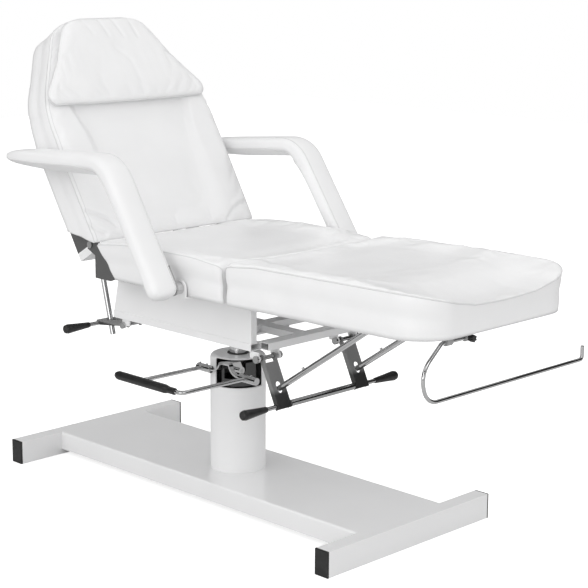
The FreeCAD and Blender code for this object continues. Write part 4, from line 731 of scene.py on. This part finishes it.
# Distance from the tip and, for each, the share of the full section
ARM_TAPER = np.array([[0, 0.16], [6, 0.34], [12, 0.45], [24, 0.58], [37, 0.69], [60, 0.82], [83, 0.90],
                      [120, 0.965], [160, 0.99], [200, 1.0]])
ARM_ROUND, ARM_FLAT, ARM_STATIONS, ARM_AROUND = 2.05, 3.4, 120, 44
ARM_FOOT_SHARE, ARM_FOOT_ROUND, ARM_NARROWING, ARM_DEEPENING = 0.30, 27.0, 0.42, 0.22
ARM_KNEE_SWELL, ARM_KNEE_FROM_FOOT, ARM_KNEE_SPREAD = 0.40, 372.0, 27.0
ARM_LIFT = {-1: math.radians(0.7), 1: math.radians(-1.9)}


def arm_line(count):
    """Places, headings and (distance from foot, distance from tip) along the armrest in its own plane.

    The stations are closer together toward both ends."""
    foot, knee, tip = (np.array(p) for p in (ARM_FOOT, ARM_KNEE, ARM_TIP))
    rise, run = (knee - foot) / np.linalg.norm(knee - foot), (tip - knee) / np.linalg.norm(tip - knee)
    half_turn = math.acos(rise @ run) / 2
    reach = ARM_BEND * math.tan(half_turn)
    start = foot - rise * ARM_BELOW
    first, last = knee - rise * reach, knee + run * reach
    bend_length = ARM_BEND * half_turn * 2
    lengths = np.array([np.linalg.norm(first - start), bend_length, np.linalg.norm(tip - last)])
    total = lengths.sum()
    first_heading, last_heading = math.atan2(rise[1], rise[0]), math.atan2(run[1], run[0])
    if last_heading <= first_heading:
        last_heading += 2 * math.pi
    centre = first + np.array([-rise[1], rise[0]]) * ARM_BEND
    places, headings, distances = [], [], []
    for t in np.linspace(0, 1, count):
        s = (1 - math.cos(t * math.pi)) / 2 * 0.5 + t * 0.5
        d = s * total
        if d < lengths[0]:
            p, h = start + rise * d, rise
        elif d < lengths[0] + lengths[1]:
            share = (d - lengths[0]) / bend_length
            heading = first_heading + (last_heading - first_heading) * share
            h = np.array([math.cos(heading), math.sin(heading)])
            p = centre + ARM_BEND * np.array([math.sin(heading), -math.cos(heading)])
        else:
            p, h = last + run * (d - lengths[0] - lengths[1]), run
        places.append(p)
        headings.append(h)
        distances.append((d, total - d))
    return np.array(places), np.array(headings), np.array(distances)


ARM_PLACES, ARM_HEADINGS, ARM_DISTANCES = arm_line(ARM_STATIONS)


def arm_point(station, side, across, out):
    """Point of an armrest's skin, for shares -1..1 across its width and out toward its upper face."""
    heading = ARM_HEADINGS[station]
    from_foot, from_tip = ARM_DISTANCES[station]
    foot_share = ARM_FOOT_SHARE + (1 - ARM_FOOT_SHARE) * arc(from_foot, ARM_FOOT_ROUND)
    full = np.interp(from_tip, ARM_TAPER[:, 0], ARM_TAPER[:, 1]) * foot_share
    outward = np.array([heading[1], -heading[0]])
    if out < 0:
        run = grow(from_foot, start=330.0, over=90.0) * grow(from_tip, start=10.0, over=90.0)
        level = grow(from_foot, start=260.0, over=90.0) * grow(from_tip, start=60.0, over=200.0)
        across = across * (1 - ARM_NARROWING * run * grow(-out, start=0.15, over=0.85))
        knee = math.exp(-((from_foot - ARM_KNEE_FROM_FOOT) / ARM_KNEE_SPREAD) ** 2)
        out = out * (1 + ARM_DEEPENING * level + ARM_KNEE_SWELL * knee)
    spot = ARM_PLACES[station] + outward * (out * ARM_THICK / 2 * full) - ARM_FOOT
    lift = ARM_LIFT[side]
    spot = np.array([spot[0] * math.cos(lift) + spot[1] * math.sin(lift),
                     spot[1] * math.cos(lift) - spot[0] * math.sin(lift)]) + ARM_FOOT
    return (spot[0], side * ARM_Y + across * ARM_WIDTH / 2 * full, spot[1])


def arm_skin(side):
    points, faces = [], []
    for station in range(ARM_STATIONS):
        for k in range(ARM_AROUND):
            turn = 2 * math.pi * k / ARM_AROUND
            c, s = math.cos(turn), math.sin(turn)
            power = 2 / (ARM_FLAT if s > 0 else ARM_ROUND)
            across = math.copysign(abs(c) ** power, c)
            out = math.copysign(abs(s) ** power, s)
            points.append(arm_point(station, side, across, out))
    for station in range(ARM_STATIONS - 1):
        for k in range(ARM_AROUND):
            a, b = station * ARM_AROUND + k, station * ARM_AROUND + (k + 1) % ARM_AROUND
            faces.append([a, b, b + ARM_AROUND, a + ARM_AROUND])
    faces.append(list(range(ARM_AROUND))[::-1])
    last = (ARM_STATIONS - 1) * ARM_AROUND
    faces.append([last + k for k in range(ARM_AROUND)])
    return points, faces


def skin_reach(level, power):
    """How far across a rounded section reaches at a level of it."""
    return (1 - abs(level) ** power) ** (1 / power)


SEAM_RADIUS, SEAM_PROUD, SEAM_LEVEL, SEAM_FALL = 1.1, 0.008, -0.22, 0.55
PIPING_RADIUS, PIPING_PROUD, PIPING_LEVEL, PIPING_FROM, PIPING_TO = 1.6, 0.012, 0.90, 8, 470


def arm_thread(name, line, radius, body):
    tube_along(name, fine(place_all(line), 1), radius * MM, body, "seam_vinyl")


def build_arm(side, side_name):
    body = "armrest_" + side_name
    points, faces = arm_skin(side)
    piece = new_piece("armrest_cover_" + side_name, place_all(points), faces, body, "white_vinyl")
    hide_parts("armrest_pad_" + side_name)
    for edge, edge_name in ((side, "outer"), (-side, "inner")):
        line = []
        for station in range(2, ARM_STATIONS - 1):
            from_tip = ARM_DISTANCES[station][1]
            level = SEAM_LEVEL - SEAM_FALL * grow(from_tip, start=330.0, over=130.0)
            reach = skin_reach(level, ARM_ROUND) + SEAM_PROUD
            line.append(arm_point(station, side, edge * reach, level))
        arm_thread("armrest_seam_{}_{}".format(side_name, edge_name), line, SEAM_RADIUS, body)
    reach = skin_reach(PIPING_LEVEL, ARM_FLAT) + PIPING_PROUD
    line = [arm_point(station, side, -side * reach, PIPING_LEVEL) for station in range(2, ARM_STATIONS)
            if PIPING_FROM < ARM_DISTANCES[station][0] < PIPING_TO]
    arm_thread("armrest_piping_" + side_name, line, PIPING_RADIUS, body)


SIDES = ((-1, "near"), (1, "far"))
for side, side_name in SIDES:
    build_arm(side, side_name)


# Skins filled, each with its pressure and the most that a point may move, then seams laid on them

for cover, pad, pressure, most in ((seat_piece, seat, 2.0, 7.0), (legrest_piece, legrest, 2.0, 7.0),
                                   (back_piece, back, 2.0, 7.0), (pillow_piece, pillow, 1.5, 5.0)):
    puff(cover, pad, pressure, most)


def side_run(pad, side, trail):
    """Vertex numbers up one corner and along a side's seam, and down the next corner where trail is true."""
    i = 0 if side < 0 else pad.nu
    numbers = [pad.index[(i, 0, k)] for k in range(pad.nw)]
    numbers += [pad.index[(i, j, pad.nw)] for j in range(pad.nv + 1)]
    if trail:
        numbers += [pad.index[(i, pad.nv, k)] for k in range(pad.nw - 1, -1, -1)]
    return numbers


def end_run(pad):
    """Vertex numbers along the near side's seam, round the last end and back along the far side's."""
    middle = [pad.index[(i, pad.nv, pad.nw)] for i in range(1, pad.nu)]
    return side_run(pad, -1, False) + middle + side_run(pad, 1, False)[::-1]


STITCH_INSET = 2
for side, side_name in SIDES:
    seam("seat_seam_" + side_name, seat_piece, side_run(seat, side, True), radius=1.2, body="lift", lift=0.2)
seam("legrest_welt", legrest_piece, end_run(legrest), radius=2.2, body="legrest", lift=0.8)
seam("backrest_seam", back_piece, end_run(back), radius=1.3, body="backrest", lift=0.3)
for side, side_name in SIDES:
    column = STITCH_INSET if side < 0 else back.nu - STITCH_INSET
    stitches = [back.index[(column, j, back.nw)] for j in range(1, back.nv - 1)]
    seam("backrest_stitch_" + side_name, back_piece, stitches, radius=0.8, body="backrest", lift=0.1)
pillow_rim = pillow.rim()
seam("pillow_welt", pillow_piece, pillow_rim + pillow_rim[:1], radius=1.8, body="backrest", lift=0.4)


# Camera, as fitted to the photograph

CAMERA_AT = (3321.1, -3129.8, 1552.6)
AZIMUTH, ELEVATION, ROLL = math.radians(44.70364), math.radians(12.0534), math.radians(0.4024)
FOCAL_PIXELS, PHOTO_PIXELS, SENSOR_WIDTH = 1641.13, 588.0, 36.0
camera_data = bpy.data.cameras.new("camera")
camera_data.sensor_width = SENSOR_WIDTH
camera_data.lens = SENSOR_WIDTH * FOCAL_PIXELS / PHOTO_PIXELS
camera_data.clip_end = 60
camera = bpy.data.objects.new("camera", camera_data)
scene.collection.objects.link(camera)
backward = Vector((math.sin(AZIMUTH) * math.cos(ELEVATION), -math.cos(AZIMUTH) * math.cos(ELEVATION),
                   math.sin(ELEVATION)))
right = Vector((math.cos(AZIMUTH), math.sin(AZIMUTH), 0))
up_axis = backward.cross(right)
facing = Matrix((right, up_axis, backward)).transposed().to_4x4()
camera.matrix_world = Matrix.Translation(place(*CAMERA_AT)) @ facing @ Matrix.Rotation(ROLL, 4, "Z")
scene.camera = camera


# Surroundings. Walls of the white tent give more light than its roof.

TENT_STRENGTH = 1.19
WHITE = (1, 1, 1, 1)
TENT_BANDS = ((0.0, 0.55), (0.20, 0.60), (0.36, 1.0), (0.70, 1.0), (0.84, 0.45), (1.0, 0.35))
# Metal sees a white sweep with a dark studio above and beside it, light only on the camera's side
STUDIO_BANDS = ((0.00, 0.95), (0.46, 0.95), (0.52, 0.90), (0.57, 0.03), (0.70, 0.03), (0.78, 0.95),
                (1.00, 0.95))
STUDIO_SIDES = ((0.00, 0.45), (0.12, 0.30), (0.24, 0.06), (0.70, 0.06), (0.84, 1.0), (1.00, 1.0))
LIGHT_SIDE = (0.703, -0.711, 0.0)

scene.view_settings.view_transform = "Standard"
world = bpy.data.worlds.new("studio")
scene.world = world
world.use_nodes = True
tree = world.node_tree
links = tree.links
background = tree.nodes["Background"]
path = add_node(tree, "LightPath")
either_ray = add_node(tree, "Math")
either_ray.operation = "MAXIMUM"
links.new(path.outputs["Is Camera Ray"], either_ray.inputs[0])
links.new(path.outputs["Is Transmission Ray"], either_ray.inputs[1])
seen_plain = either_ray.outputs[0]
links.new(spread(tree, seen_plain, TENT_STRENGTH, 1.0, 0.0, 1.0), background.inputs["Strength"])
sky = add_node(tree, "TexCoord").outputs["Generated"]
split = add_node(tree, "SeparateXYZ")
links.new(sky, split.inputs["Vector"])
tent = grey_ramp(tree, split.outputs["Z"], TENT_BANDS)
links.new(colour_mix(tree, seen_plain, tent, WHITE), background.inputs["Color"])

toward = add_node(tree, "VectorMath", {1: LIGHT_SIDE})
toward.operation = "DOT_PRODUCT"
links.new(sky, toward.inputs[0])
sides = grey_ramp(tree, spread(tree, toward.outputs["Value"], 0.0, 1.0, -1.0, 1.0), STUDIO_SIDES, "EASE")
bands = grey_ramp(tree, spread(tree, split.outputs["Z"], 0.0, 1.0, -1.0, 1.0), STUDIO_BANDS, "EASE")
studio = add_node(tree, "Background")
links.new(colour_mix(tree, 1.0, bands, sides, "MULTIPLY"), studio.inputs["Color"])
studio_mix = add_node(tree, "MixShader")
links.new(path.outputs["Is Glossy Ray"], studio_mix.inputs["Fac"])
links.new(background.outputs["Background"], studio_mix.inputs[1])
links.new(studio.outputs["Background"], studio_mix.inputs[2])
links.new(studio_mix.outputs["Shader"], tree.nodes["World Output"].inputs["Surface"])


# Lamps: name, place, what it aims at, size and power

LAMPS = (("key", (-1.6, -3.4, 2.9), (0, 0, 0.6), (2.4, 2.0), 20),
         ("fill", (3.6, -1.0, 2.4), (0, 0, 0.6), (2.2, 2.0), 18),
         ("top", (0.2, 0.6, 3.8), (0, 0, 0.6), (3.0, 2.4), 14),
         ("front", (1.4, -3.6, 1.2), (0.1, 0, 0.6), (2.4, 1.6), 25))
for name, at, aim, size, power in LAMPS:
    data = bpy.data.lights.new(name, "AREA")
    data.shape = "RECTANGLE"
    data.size, data.size_y = size
    data.energy = power
    lamp = bpy.data.objects.new(name, data)
    scene.collection.objects.link(lamp)
    lamp.location = at
    lamp.rotation_euler = (Vector(aim) - Vector(at)).to_track_quat("-Z", "Y").to_euler()


# Floor, which glows for camera rays only, for the white ground of the photograph

FLOOR_TONE, FLOOR_GLOW, FLOOR_REACH, FLOOR_DROP = 0.60, 0.78, 9.0, 0.0005
floor_mat = material("floor", (FLOOR_TONE, FLOOR_TONE, FLOOR_TONE), 0.8, specular=0.1)
shader = principled(floor_mat)
shader.inputs["Emission Color"].default_value = WHITE
tree = floor_mat.node_tree
camera_ray = add_node(tree, "LightPath").outputs["Is Camera Ray"]
tree.links.new(spread(tree, camera_ray, 0.0, FLOOR_GLOW, 0.0, 1.0), shader.inputs["Emission Strength"])
floor_mesh = bpy.data.meshes.new("floor")
corners = [(x * FLOOR_REACH, y * FLOOR_REACH, 0) for x, y in ((-1, -1), (1, -1), (1, 1), (-1, 1))]
floor_mesh.from_pydata(corners, [], [(0, 1, 2, 3)])
floor_mesh.materials.append(floor_mat)
floor = bpy.data.objects.new("floor", floor_mesh)
scene.collection.objects.link(floor)
floor.location.z = -FLOOR_DROP
